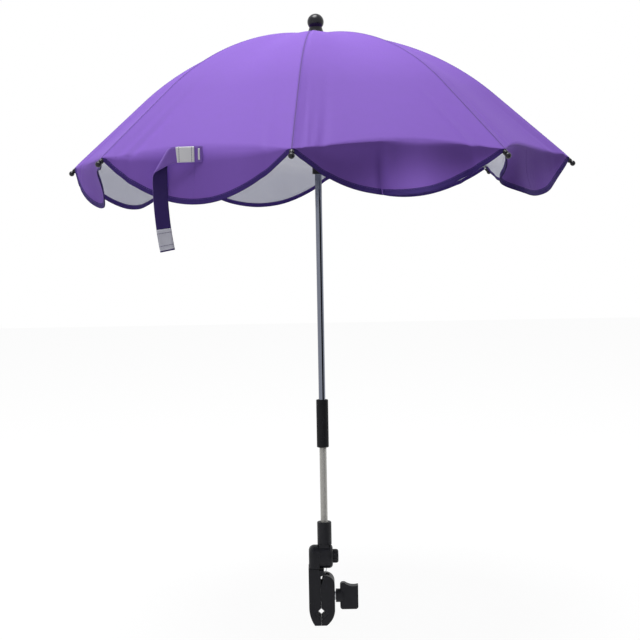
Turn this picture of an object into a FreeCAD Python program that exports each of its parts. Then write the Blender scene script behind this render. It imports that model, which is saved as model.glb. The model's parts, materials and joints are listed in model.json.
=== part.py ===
import FreeCAD, Part
import math
import os
import re
import Sketcher

# Pram parasol, in millimetres, with +Z up and the origin on the axis of the tube that the clamp grips.
# The tube lies along Y, the clamp's jaw opens towards +X and the pole stands beside the origin.

SIZES = {
    # clamp body
    "tube_radius": 6.0,
    "groove_depth": 0.21,
    "pad_thickness": 1.8,
    "pad_clearance": 0.02,
    "clamp_depth": 30.0,
    "parting_gap": 0.1,
    "body_back": 18.3,
    "clamp_bottom": 18.7,
    "body_foot": 9.9,
    "body_shoulder": 9.0,
    "body_rise": 25.5,
    "body_head": 5.1,
    "head_step": 3.0,
    "edge_round": 1.5,
    # jaw and its hinge
    "jaw_foot": 8.0,
    "jaw_shoulder": 6.2,
    "hinge_reach": 6.9,
    "hinge_height": 44.0,
    "jaw_radius": 14.0,
    "jaw_swing": 20.0,
    "hinge_pin_radius": 2.0,
    "lug_radius": 6.0,
    "lug_width": 5.0,
    "slot_clearance": 0.5,
    "spring_radius": 4.6,
    "spring_width": 4.2,
    "spring_wire": 1.6,
    "spring_leg": 22.0,
    "spring_lean": 5.0,
    # clamping screw
    "screw_height": 24.1,
    "stud_radius": 3.0,
    "stud_depth": 14.0,
    "stud_grip": 18.0,
    "nut_width": 10.0,
    "nut_thickness": 5.0,
    "nut_seat": 7.6,
    "jaw_slot_low": 10.6,
    "jaw_slot_high": 7.4,
    "washer_radius": 7.0,
    "washer_thickness": 1.5,
    "knob_stem_radius": 10.2,
    "knob_stem_length": 6.5,
    "wing_length": 27.5,
    "wing_half": 20.5,
    "wing_thickness": 13.0,
    "wing_round": 4.0,
    "scoop_radius": 22.0,
    "scoop_depth": 5.0,
    # knuckle
    "base_back": 17.5,
    "base_front": 1.8,
    "base_seat_gap": 0.3,
    "base_radius": 17.5,
    "base_round": 8.0,
    "base_pin_radius": 5.0,
    "base_pin_depth": 18.0,
    "base_pin_rise": 9.0,
    "tilt_rise": 15.7,
    "tilt_bolt_radius": 3.0,
    "bolt_head_radius": 5.5,
    "bolt_head_height": 3.8,
    "tang_radius": 18.0,
    "tang_width": 20.5,
    "tang_round": 5.5,
    "socket_inset": 8.35,
    "tang_gap": 0.1,
    "tilt_knob_radius": 10.4,
    "tilt_knob_length": 8.5,
    "knob_flute_radius": 2.2,
    "knob_edge": 3.5,
    "socket_radius": 10.8,
    "socket_lift": 18.6,
    "socket_length": 53.2,
    "socket_bore_depth": 26.0,
    "socket_edge": 1.2,
    # pole
    "neck_radius": 5.5,
    "neck_bore_radius": 3.8,
    "neck_rib_height": 0.5,
    "neck_rib_pitch": 2.0,
    "neck_plug": 12.0,
    "sleeve_radius": 9.0,
    "sleeve_bottom": 252.6,
    "sleeve_top": 324.7,
    "sleeve_edge": 1.0,
    "shaft_radius": 5.0,
    "shaft_wall": 0.8,
    "shaft_plug": 40.0,
    "fit_clearance": 0.05,
    "seat_clearance": 0.02,
    # canopy dome
    "apex_height": 866.5,
    "dome_flat": 12.0,
    "dome_radius": 378.0,
    "rib_slope": 41.0,
    "rib_straight": 153.4,
    "rib_turn": -4.9,
    "cloth_thickness": 1.2,
    "cloth_clearance": 0.5,
    "cloth_start": 8.0,
    "panel_gap": 0.35,
    "panel_sag": 4.0,
    "seam_half": 2.2,
    "cloth_margin": 9.5,
    "fold_arch": 7.0,
    "flap_height": 68.0,
    "flap_flare": 9.0,
    "flap_fold": 5.0,
    "flap_lip": 0.5,
    # ribs, stretchers and their hubs
    "rib_width": 3.0,
    "rib_height": 3.6,
    "rib_end": 4.5,
    "channel_width": 2.0,
    "channel_depth": 2.4,
    "ring_wire": 0.8,
    "ring_clearance": 0.2,
    "crown_ring_radius": 10.0,
    "crown_radius": 13.0,
    "crown_height": 14.5,
    "hub_wall": 1.75,
    "stretcher_slope": 32.61,
    "rivet_drop": 1.6,
    "rivet_radius": 1.8,
    "rivet_head": 0.6,
    "stretcher_length": 203.0,
    "stretcher_height": 4.0,
    "stretcher_width": 6.0,
    "fork_clearance": 0.3,
    "runner_ring_radius": 14.0,
    "runner_radius": 17.0,
    "runner_flange": 10.0,
    "runner_tube_radius": 8.5,
    "runner_length": 52.0,
    "catch_width": 2.4,
    "catch_height": 12.0,
    "catch_rise": 2.0,
    "catch_depth": 3.0,
    "catch_gap": 1.0,
    # rib tips and finial
    "tip_cap_radius": 3.4,
    "tip_cap_length": 6.0,
    "tip_neck_radius": 2.2,
    "tip_ball_radius": 4.0,
    "finial_ball_radius": 12.1,
    "finial_ball_lift": 18.7,
    "finial_skirt_radius": 14.7,
    "finial_waist_radius": 9.4,
    "finial_skirt_height": 9.0,
    "finial_socket": 8.0,
    # tie strap
    "strap_width": 20.0,
    "strap_thickness": 1.4,
    "strap_gap": 0.9,
    "strap_reach": 74.0,
    "strap_tail": 10.0,
    "strap_turn": 15.0,
    "strap_drop": 1.0,
    "strap_hang": 124.0,
    "patch_length": 27.0,
    "patch_thickness": 1.0,
    # cuts run past their piece by this much
    "cut_overrun": 2.0,
}

RIB_COUNT = 8
STRAP_RIB = 8
FLUTE_COUNT = 8
HOSE_RIB_LIMIT = 200
DOME_STEPS = 12
FORK_SHARE = 0.5
FORK_ROOT_SHARE = 0.55
WEB_SHARE = 0.62
FLAP_MIDDLE_SHARE = 0.5
SCALLOP_QUARTER_SHARE = 0.75
SAG_QUARTER_SHARE = 0.75
CONE_SHARE = 0.25
SCOOP_SHARE = 0.25

doc = FreeCAD.newDocument("PramParasol")
sheet = doc.addObject("Spreadsheet::Sheet", "Sizes")
for row, (alias, number) in enumerate(SIZES.items(), start=1):
    sheet.set(f"A{row}", alias)
    sheet.set(f"B{row}", str(number))
    sheet.setAlias(f"B{row}", alias)
doc.recompute()

nodes = []


def cells(text):
    """Turn a formula in size names into an expression on the sheet's cells."""
    return re.sub(r"\b[a-z]+(?:_[a-z]+)+\b", r"Sizes.\g<0>", text)


def value(text):
    """Work out a formula in size names."""
    return float(sheet.evalExpression(cells(text)))


def bind(item, prop, text):
    item.setExpression(prop, cells(text))


def same(first, second):
    """Tell whether two measures agree."""
    return math.isclose(first, second, rel_tol=1e-6)


def place(item, x="0", y="0", z="0"):
    """Bind the position of a piece to the sheet."""
    for axis, text in (("x", x), ("y", y), ("z", z)):
        bind(item, f"Placement.Base.{axis}", text)


def keep(item, label):
    """Name a finished piece and list it for writing."""
    item.Label = label
    nodes.append(item)
    return item


def new_body(label):
    return keep(doc.addObject("PartDesign::Body", label), label)


def sketch_on(body, role, offset=None):
    """Start a sketch on one of the body's own planes."""
    sketch = body.newObject("Sketcher::SketchObject", f"{body.Name}_sketch")
    plane = next(item for item in body.Origin.OriginFeatures if item.Role == role)
    sketch.AttachmentSupport = [(plane, "")]
    sketch.MapMode = "FlatFace"
    if offset:
        bind(sketch, "AttachmentOffset.Base.z", offset)
    return sketch


def constrain(sketch, text, *reference):
    """Add a dimension that follows the sheet."""
    number = sketch.addConstraint(Sketcher.Constraint(*reference, value(text)))
    sketch.setExpression(f"Constraints[{number}]", cells(text))


def pin_point(sketch, geometry, position, x, y):
    constrain(sketch, x, "DistanceX", -1, 1, geometry, position)
    constrain(sketch, y, "DistanceY", -1, 1, geometry, position)


def arc_middle(start, end, radius, outward):
    """Find the middle of a short arc, on the right of its chord when it bulges outward."""
    chord = end - start
    half = chord.Length / 2
    rise = radius - math.sqrt(max(radius * radius - half * half, 0.0))
    side = FreeCAD.Vector(chord.y, -chord.x, 0).normalize()
    return (start + end) / 2 + side * (rise if outward else -rise)


def outline(sketch, corners):
    """Draw a closed line through corners, counterclockwise.

    A radius and the word out, in or half after a corner make its next side an arc.
    """
    points = [FreeCAD.Vector(value(corner[0]), value(corner[1]), 0) for corner in corners]
    sides = []
    for index, corner in enumerate(corners):
        start = points[index]
        end = points[(index + 1) % len(points)]
        if len(corner) == 2:
            number = sketch.addGeometry(Part.LineSegment(start, end))
        else:
            outward = corner[3] != "in"
            middle = arc_middle(start, end, value(corner[2]), outward)
            ends = (start, end) if outward else (end, start)
            number = sketch.addGeometry(Part.Arc(ends[0], middle, ends[1]))
        same_way = (sketch.Geometry[number].StartPoint - start).Length < (end - start).Length / 2
        sides.append((number, 1, 2) if same_way else (number, 2, 1))
    for index, corner in enumerate(corners):
        before = sides[index - 1]
        number, first, _ = sides[index]
        sketch.addConstraint(Sketcher.Constraint("Coincident", before[0], before[2], number, first))
        pin_point(sketch, number, first, corner[0], corner[1])
        if len(corner) > 2 and corner[3] == "half":
            chord = points[(index + 1) % len(points)] - points[index]
            axis = 0 if abs(chord.x) < abs(chord.y) else 1
            constrain(sketch, corner[axis], ("DistanceX", "DistanceY")[axis], -1, 1, number, 3)
        elif len(corner) > 2:
            constrain(sketch, corner[2], "Radius", number)
    return sketch


def circle(sketch, x, y, radius):
    center = FreeCAD.Vector(value(x), value(y), 0)
    number = sketch.addGeometry(Part.Circle(center, FreeCAD.Vector(0, 0, 1), value(radius)))
    pin_point(sketch, number, 3, x, y)
    constrain(sketch, radius, "Radius", number)
    return sketch


def rectangle(sketch, left, right, low, high):
    return outline(sketch, [(left, low), (right, low), (right, high), (left, high)])


def pad(body, sketch, length):
    """Thicken a sketch evenly to both sides of its plane."""
    feature = body.newObject("PartDesign::Pad", f"{body.Name}_block")
    feature.Profile = sketch
    feature.SideType = "Symmetric"
    bind(feature, "Length", length)
    return feature


def settle(body):
    """Recompute, and stop with the reason if a feature of the body failed."""
    doc.recompute()
    for item in body.Group:
        if "Invalid" in item.State or "Error" in item.State:
            raise RuntimeError(f"{item.Name}: {item.getStatusString()}")


def cut(body, sketch, length):
    """Cut a sketch away evenly to both sides of its plane, and check that it met material."""
    settle(body)
    before = body.Shape.Volume
    feature = body.newObject("PartDesign::Pocket", f"{body.Name}_cut")
    feature.Profile = sketch
    feature.SideType = "Symmetric"
    bind(feature, "Length", length)
    settle(body)
    if body.Shape.Volume >= before:
        raise RuntimeError(f"a cut in {body.Label} removes nothing")
    return feature


def spin(body, sketch, axis="V_Axis"):
    """Turn a sketch right round one of its axes."""
    feature = body.newObject("PartDesign::Revolution", f"{body.Name}_turn")
    feature.Profile = sketch
    feature.ReferenceAxis = (sketch, [axis])
    feature.Angle = 360
    return feature


def spin_cut(body, sketch, axis="V_Axis"):
    feature = body.newObject("PartDesign::Groove", f"{body.Name}_groove")
    feature.Profile = sketch
    feature.ReferenceAxis = (sketch, [axis])
    feature.Angle = 360
    return feature


def repeat_round(body, feature, sketch, count, axis="N_Axis"):
    """Repeat a cut evenly round an axis of its sketch."""
    pattern = body.newObject("PartDesign::PolarPattern", f"{body.Name}_pattern")
    pattern.Originals = [feature]
    pattern.Axis = (sketch, [axis])
    pattern.Angle = 360
    pattern.Occurrences = count
    body.Tip = pattern
    return pattern


def round_edges(body, feature, radius, choose):
    """Fillet the edges of a feature that a test picks by their middle point."""
    settle(body)
    names = []
    for index, edge in enumerate(feature.Shape.Edges, start=1):
        middle = edge.valueAt((edge.FirstParameter + edge.LastParameter) / 2)
        if choose(middle):
            names.append(f"Edge{index}")
    fillet = body.newObject("PartDesign::Fillet", f"{body.Name}_round")
    fillet.Base = (feature, names)
    bind(fillet, "Radius", radius)
    return fillet


def rod(label, radius, length, turn):
    """Make a plain round rod; turn lays its axis along the wanted direction."""
    item = doc.addObject("Part::Cylinder", label)
    bind(item, "Radius", radius)
    bind(item, "Height", length)
    item.Placement = FreeCAD.Placement(FreeCAD.Vector(), turn)
    return item


ALONG_X = FreeCAD.Rotation(FreeCAD.Vector(0, 1, 0), 90)
ALONG_Y = FreeCAD.Rotation(FreeCAD.Vector(1, 0, 0), -90)
ALONG_Z = FreeCAD.Rotation()

# Formulas that several pieces share
FACE = "parting_gap / 2"
FLAT = "(tube_radius - groove_depth)"
NOTCH = f"({FLAT} + pad_thickness) * sqrt(2)"
HOLE = f"{FLAT} * sqrt(2)"
BODY_RUN = "(body_back - body_foot)"
BODY_CORNER = f"({BODY_RUN} / 2 + (body_shoulder + clamp_bottom) ^ 2 / (2 * {BODY_RUN}))"
JAW_FRONT = "(hinge_reach + jaw_radius)"
JAW_RUN = f"({JAW_FRONT} - jaw_foot)"
JAW_CORNER = f"({JAW_RUN} / 2 + (jaw_shoulder + clamp_bottom) ^ 2 / (2 * {JAW_RUN}))"
HEAD_ARC = "(jaw_radius + 2 * slot_clearance)"
BODY_TOP = "(hinge_height + body_rise)"
BASE_BOTTOM = f"({BODY_TOP} + base_seat_gap)"
TILT_Z = f"({BODY_TOP} + tilt_rise)"
SOCKET_TOP = f"({TILT_Z} + socket_length)"
TANG_BACK = "(tang_gap - base_front)"
POLE_X = f"({TANG_BACK} + socket_inset)"
ARC_CENTER_Z = "(apex_height - dome_radius)"
RIB_TOP = "(dome_radius - cloth_thickness - cloth_clearance)"
RIB_MIDDLE = f"({RIB_TOP} - rib_height / 2)"
RIB_BOTTOM = f"({RIB_TOP} - rib_height)"
CROWN_PIVOT_Z = f"({ARC_CENTER_Z} + {RIB_MIDDLE})"
CROWN_TOP = f"({CROWN_PIVOT_Z} + rib_height / 2)"
RIVET_RADIUS = f"({RIB_MIDDLE} - rivet_drop)"
RUNNER_RUN = "(stretcher_length * cos(stretcher_slope))"
RUNNER_RISE = "(stretcher_length * sin(stretcher_slope))"
RIVET_REACH = f"(runner_ring_radius + {RUNNER_RUN})"
RIVET_Z = f"({ARC_CENTER_Z} + sqrt({RIVET_RADIUS} ^ 2 - ({RIVET_REACH} - dome_flat) ^ 2))"
RUNNER_Z = f"({RIVET_Z} - {RUNNER_RISE})"
RUNNER_TOP = f"({RUNNER_Z} + runner_flange / 2)"
RUNNER_BOTTOM = f"({RUNNER_TOP} - runner_length)"


def make_clamp_body():
    body = new_body("clamp_body")
    face = f"-{FACE}"
    side = outline(sketch_on(body, "XZ_Plane"), [
        ("-body_foot", "-clamp_bottom"),
        (face, "-clamp_bottom"),
        (face, f"{FACE} - {NOTCH}"),
        (f"-{NOTCH}", "0"),
        (face, f"{NOTCH} - {FACE}"),
        (face, f"hinge_height + sqrt({HEAD_ARC} ^ 2 - (hinge_reach + {FACE}) ^ 2)", HEAD_ARC, "in"),
        ("body_head", f"hinge_height + sqrt({HEAD_ARC} ^ 2 - (hinge_reach - body_head) ^ 2)"),
        ("body_head", f"{BODY_TOP} - head_step"),
        ("-base_front", f"{BODY_TOP} - head_step"),
        ("-base_front", BODY_TOP),
        ("-body_back", BODY_TOP),
        ("-body_back", "body_shoulder", BODY_CORNER, "out"),
    ])
    block = pad(body, side, "clamp_depth")
    half = value("clamp_depth / 2")
    back = value("-base_front")
    notch = value(NOTCH)
    round_edges(body, block, "edge_round",
                lambda middle: same(abs(middle.y), half) and middle.x < back
                and not (abs(middle.z) < notch and middle.x > -notch))
    lug = sketch_on(body, "XZ_Plane", "lug_width / 2")
    outline(lug, [
        ("-body_foot", "hinge_height - lug_radius"),
        ("hinge_reach", "hinge_height - lug_radius", "lug_radius", "half"),
        ("hinge_reach", "hinge_height + lug_radius"),
        ("-body_foot", "hinge_height + lug_radius"),
    ])
    pad(body, lug, "lug_width")
    pin_hole = sketch_on(body, "XZ_Plane")
    circle(pin_hole, "hinge_reach", "hinge_height", "hinge_pin_radius + seat_clearance")
    cut(body, pin_hole, "clamp_depth")
    nut_pocket = sketch_on(body, "YZ_Plane", "-nut_seat / 2")
    width = "(nut_width / 2 + slot_clearance / 2)"
    outline(nut_pocket, [
        (f"-2 * {width} / sqrt(3)", "screw_height"),
        (f"-{width} / sqrt(3)", f"screw_height - {width}"),
        (f"{width} / sqrt(3)", f"screw_height - {width}"),
        (f"2 * {width} / sqrt(3)", "screw_height"),
        (f"{width} / sqrt(3)", f"screw_height + {width}"),
        (f"-{width} / sqrt(3)", f"screw_height + {width}"),
    ])
    cut(body, nut_pocket, "nut_seat")
    stud_hole = sketch_on(body, "YZ_Plane", "-(stud_depth + slot_clearance) / 2")
    circle(stud_hole, "0", "screw_height", "stud_radius + slot_clearance")
    cut(body, stud_hole, "stud_depth + slot_clearance")
    pin_seat = sketch_on(body, "XY_Plane", f"{BODY_TOP} - base_pin_depth / 2")
    circle(pin_seat, "-(base_back + base_front) / 2", "0", "base_pin_radius + seat_clearance")
    cut(body, pin_seat, "base_pin_depth")


def make_clamp_jaw():
    body = new_body("clamp_jaw")
    turn = "tan(jaw_swing / 2)"
    lean_low = f"hinge_height - (hinge_reach - {FACE}) * {turn}"
    lean_high = "hinge_height + jaw_radius * cos(jaw_swing / 3)"
    side = outline(sketch_on(body, "XZ_Plane"), [
        (FACE, "-clamp_bottom"),
        ("jaw_foot", "-clamp_bottom", JAW_CORNER, "out"),
        (JAW_FRONT, "jaw_shoulder"),
        (JAW_FRONT, "hinge_height", "jaw_radius", "out"),
        ("hinge_reach - jaw_radius * sin(jaw_swing / 3)", lean_high),
        (FACE, lean_low),
        (FACE, f"{NOTCH} - {FACE}"),
        (NOTCH, "0"),
        (FACE, f"{FACE} - {NOTCH}"),
    ])
    block = pad(body, side, "clamp_depth")
    half = value("clamp_depth / 2")
    front = value("jaw_foot")
    low = value("-clamp_bottom")
    round_edges(body, block, "edge_round",
                lambda middle: same(abs(middle.y), half) and (middle.x > front or same(middle.z, low)))
    lug_slot = sketch_on(body, "XZ_Plane")
    rectangle(lug_slot, "-cut_overrun", "hinge_reach + lug_radius + slot_clearance",
              "hinge_height - lug_radius - slot_clearance", "hinge_height + jaw_radius + cut_overrun")
    cut(body, lug_slot, "2 * (lug_width + slot_clearance)")
    pin_hole = sketch_on(body, "XZ_Plane")
    circle(pin_hole, "hinge_reach", "hinge_height", "hinge_pin_radius + fit_clearance")
    cut(body, pin_hole, "clamp_depth + cut_overrun")
    stud_slot = sketch_on(body, "YZ_Plane", f"{JAW_FRONT} / 2")
    rectangle(stud_slot, "-stud_radius - slot_clearance", "stud_radius + slot_clearance",
              "screw_height - jaw_slot_low", "screw_height + jaw_slot_high")
    cut(body, stud_slot, f"{JAW_FRONT} + cut_overrun")


def make_clamp_pad(label, sign):
    """Line one notch with a rubber pad that has a shallow round seat for the tube."""
    body = new_body(label)
    face = f"{sign} * {FACE}"
    seat = "pad_clearance * sqrt(2)"
    inner = [(face, f"{HOLE} - {FACE}"), (f"{sign} * {HOLE}", "0"), (face, f"{FACE} - {HOLE}")]
    outer = [
        (face, f"{FACE} - {NOTCH} + {seat}"),
        (f"{sign} * ({NOTCH} - {seat})", "0"),
        (face, f"{NOTCH} - {FACE} - {seat}"),
    ]
    pad(body, outline(sketch_on(body, "XZ_Plane"), inner + outer), "clamp_depth - 2 * edge_round")
    tube = circle(sketch_on(body, "XZ_Plane"), "0", "0", "tube_radius")
    cut(body, tube, "clamp_depth + cut_overrun")


def make_hinge():
    pin = keep(rod("jaw_hinge_pin", "hinge_pin_radius", "clamp_depth", ALONG_Y), "jaw_hinge_pin")
    place(pin, "hinge_reach", "-clamp_depth / 2", "hinge_height")
    spring = new_body("jaw_spring")
    offset = "-(slot_clearance + spring_width / 2)"
    coil = circle(sketch_on(spring, "XZ_Plane", offset), "hinge_reach", "hinge_height", "spring_radius")
    pad(spring, coil, "spring_width")
    leg = sketch_on(spring, "XZ_Plane", "-(slot_clearance + spring_wire / 2)")
    outline(leg, [
        ("hinge_reach - hinge_pin_radius - spring_wire", "hinge_height"),
        ("hinge_reach - hinge_pin_radius", "hinge_height"),
        ("hinge_reach - hinge_pin_radius + spring_lean", "hinge_height + spring_leg"),
        ("hinge_reach - hinge_pin_radius - spring_wire + spring_lean", "hinge_height + spring_leg"),
    ])
    pad(spring, leg, "spring_wire")
    eye = sketch_on(spring, "XZ_Plane", offset)
    circle(eye, "hinge_reach", "hinge_height", "hinge_pin_radius + fit_clearance")
    cut(spring, eye, "spring_width + cut_overrun")


def make_clamp_screw():
    prism = doc.addObject("Part::Prism", "nut_prism")
    prism.Polygon = 6
    bind(prism, "Circumradius", "nut_width / sqrt(3)")
    bind(prism, "Height", "nut_thickness")
    hole = doc.addObject("Part::Cylinder", "nut_hole")
    bind(hole, "Radius", "stud_radius + fit_clearance")
    bind(hole, "Height", "nut_thickness")
    nut = keep(doc.addObject("Part::Cut", "captive_nut"), "captive_nut")
    nut.Base = prism
    nut.Tool = hole
    quarter = FreeCAD.Rotation(FreeCAD.Vector(0, 0, 1), 90)
    nut.Placement = FreeCAD.Placement(FreeCAD.Vector(), ALONG_X * quarter)
    place(nut, "slot_clearance / 2 - nut_seat", "0", "screw_height")

    washer_back = f"({JAW_FRONT} + fit_clearance)"
    washer = new_body("clamp_washer")
    ring = circle(sketch_on(washer, "YZ_Plane", "washer_thickness / 2"), "0", "0", "washer_radius")
    circle(ring, "0", "0", "stud_radius + fit_clearance")
    pad(washer, ring, "washer_thickness")
    place(washer, washer_back, "0", "screw_height")

    stem_start = f"({washer_back} + washer_thickness + fit_clearance)"
    knob = new_body("clamp_knob")
    far = "(knob_stem_length + wing_length)"
    wing = outline(sketch_on(knob, "XZ_Plane"), [
        ("knob_stem_length + wing_round", "-wing_half"),
        (f"{far} - wing_round", "-wing_half", "wing_round", "out"),
        (far, "wing_round - wing_half"),
        (far, "wing_half - wing_round", "wing_round", "out"),
        (f"{far} - wing_round", "wing_half"),
        ("knob_stem_length + wing_round", "wing_half", "wing_round", "out"),
        ("knob_stem_length", "wing_half - wing_round"),
        ("knob_stem_length", "wing_round - wing_half", "wing_round", "out"),
    ])
    paddle = pad(knob, wing, "wing_thickness")
    half = value("wing_thickness / 2")
    round_edges(knob, paddle, "wing_round / 2", lambda middle: same(abs(middle.y), half))
    scoop = circle(sketch_on(knob, "XZ_Plane"), f"{far} - wing_length * {SCOOP_SHARE}",
                   "wing_half + scoop_radius - scoop_depth", "scoop_radius")
    cut(knob, scoop, "wing_thickness + cut_overrun")
    stem = circle(sketch_on(knob, "YZ_Plane", "(knob_stem_length + wing_round) / 2"), "0", "0",
                  "knob_stem_radius")
    pad(knob, stem, "knob_stem_length + wing_round")
    socket = circle(sketch_on(knob, "YZ_Plane", "stud_grip / 2"), "0", "0", "stud_radius + seat_clearance")
    cut(knob, socket, "stud_grip")
    place(knob, stem_start, "0", "screw_height")

    stud = keep(rod("clamp_stud", "stud_radius", f"stud_depth + {stem_start} + stud_grip - seat_clearance",
                    ALONG_X), "clamp_stud")
    place(stud, "-stud_depth", "0", "screw_height")


def make_knuckle_base():
    body = new_body("knuckle_base")
    middle = "-(base_back + base_front) / 2"
    side = outline(sketch_on(body, "YZ_Plane", middle), [
        ("-base_radius", BASE_BOTTOM),
        ("base_radius", BASE_BOTTOM),
        ("base_radius", TILT_Z, "base_radius", "half"),
        ("-base_radius", TILT_Z),
    ])
    block = pad(body, side, "base_back - base_front")
    back = value("-base_back")
    low = value(BASE_BOTTOM)
    round_edges(body, block, "base_round", lambda point: same(point.x, back) and not same(point.z, low))
    bolt_hole = circle(sketch_on(body, "YZ_Plane", middle), "0", TILT_Z,
                       "tilt_bolt_radius + seat_clearance")
    cut(body, bolt_hole, "base_back - base_front + cut_overrun")
    head_seat = circle(sketch_on(body, "YZ_Plane", "-base_back"), "0", TILT_Z,
                       "bolt_head_radius + seat_clearance")
    cut(body, head_seat, "2 * bolt_head_height")
    pin_seat = circle(sketch_on(body, "XY_Plane", BASE_BOTTOM), middle, "0",
                      "base_pin_radius + seat_clearance")
    cut(body, pin_seat, "2 * base_pin_rise")
    pin = keep(rod("base_pin", "base_pin_radius", "base_pin_depth + base_seat_gap + base_pin_rise", ALONG_Z),
               "base_pin")
    place(pin, middle, "0", f"{BODY_TOP} - base_pin_depth")


def make_tilt_parts():
    body = new_body("tilt_socket")
    tang_middle = f"({TANG_BACK} + tang_width / 2)"
    disc = circle(sketch_on(body, "YZ_Plane", tang_middle), "0", TILT_Z, "tang_radius")
    plate = pad(body, disc, "tang_width")
    front = value(f"{TANG_BACK} + tang_width")
    round_edges(body, plate, "tang_round", lambda middle: same(middle.x, front))
    neck_width = "(tang_width - tang_round)"
    neck = rectangle(sketch_on(body, "YZ_Plane", f"{TANG_BACK} + {neck_width} / 2"), "-socket_radius",
                     "socket_radius", TILT_Z, f"{TILT_Z} + socket_lift + socket_edge")
    pad(body, neck, neck_width)
    tube_bottom = f"({TILT_Z} + socket_lift)"
    tube = circle(sketch_on(body, "XY_Plane", f"({SOCKET_TOP} + {tube_bottom}) / 2"), POLE_X, "0",
                  "socket_radius")
    barrel = pad(body, tube, f"{SOCKET_TOP} - {tube_bottom}")
    top = value(SOCKET_TOP)
    round_edges(body, barrel, "socket_edge", lambda middle: same(middle.z, top))
    bore = circle(sketch_on(body, "XY_Plane", f"{SOCKET_TOP} - socket_bore_depth / 2 + cut_overrun / 2"),
                  POLE_X, "0", "neck_radius + fit_clearance")
    cut(body, bore, "socket_bore_depth + cut_overrun")
    hole = circle(sketch_on(body, "YZ_Plane", tang_middle), "0", TILT_Z, "tilt_bolt_radius + fit_clearance")
    cut(body, hole, "tang_width + cut_overrun")

    knob_start = f"({TANG_BACK} + tang_width + tang_gap)"
    shank = f"base_back - bolt_head_height + {knob_start} + tilt_knob_length / 2"
    bolt = new_body("tilt_bolt")
    head = circle(sketch_on(bolt, "YZ_Plane", "bolt_head_height / 2"), "0", "0", "bolt_head_radius")
    pad(bolt, head, "bolt_head_height - seat_clearance")
    stem = circle(sketch_on(bolt, "YZ_Plane", f"bolt_head_height / 2 + ({shank}) / 2"), "0", "0",
                  "tilt_bolt_radius")
    pad(bolt, stem, f"{shank} + bolt_head_height - seat_clearance")
    place(bolt, "-base_back", "0", TILT_Z)

    knob = new_body("tilt_knob")
    grip = circle(sketch_on(knob, "YZ_Plane", "tilt_knob_length / 2"), "0", "0", "tilt_knob_radius")
    grip_pad = pad(knob, grip, "tilt_knob_length")
    far = value("tilt_knob_length")
    round_edges(knob, grip_pad, "knob_edge", lambda middle: same(middle.x, far))
    flute_sketch = circle(sketch_on(knob, "YZ_Plane", "tilt_knob_length / 2"), "0",
                          "tilt_knob_radius + knob_flute_radius / 2", "knob_flute_radius")
    flute = cut(knob, flute_sketch, "tilt_knob_length + cut_overrun")
    repeat_round(knob, flute, flute_sketch, FLUTE_COUNT)
    thread = circle(sketch_on(knob, "YZ_Plane", "0"), "0", "0", "tilt_bolt_radius + fit_clearance")
    cut(knob, thread, "tilt_knob_length + 2 * cut_overrun")
    place(knob, knob_start, "0", TILT_Z)


def make_gooseneck():
    """Wind the ribbed steel hose: four circles to a rib, with a plain plug at each end."""
    item = keep(doc.addObject("Part::Feature", "gooseneck"), "gooseneck")
    bottom = value(f"{SOCKET_TOP} - socket_bore_depth + fit_clearance")
    top = value("sleeve_bottom + neck_plug - fit_clearance")
    outer = value("neck_radius")
    inner = value("neck_radius - neck_rib_height")
    pitch = value("neck_rib_pitch")
    ribs_from = bottom + value("2 * neck_radius")
    ribs_to = top - value("2 * neck_radius")
    count = min(HOSE_RIB_LIMIT, int((ribs_to - ribs_from) / pitch))
    step = (ribs_to - ribs_from) / count
    rings = [(bottom, inner)]
    for index in range(count):
        start = ribs_from + index * step
        rings += [(start, inner), (start + step * CONE_SHARE, outer)]
        rings += [(start + step * 2 * CONE_SHARE, outer), (start + step * 3 * CONE_SHARE, inner)]
    rings.append((top, inner))
    up = FreeCAD.Vector(0, 0, 1)
    wires = []
    for height, radius in rings:
        wires.append(Part.Wire(Part.makeCircle(radius, FreeCAD.Vector(0, 0, height), up)))
    hose = Part.makeLoft(wires, True, True)
    bore = Part.makeCylinder(value("neck_bore_radius"), top - bottom, FreeCAD.Vector(0, 0, bottom), up)
    item.Shape = hose.cut(bore)
    place(item, POLE_X)


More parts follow.
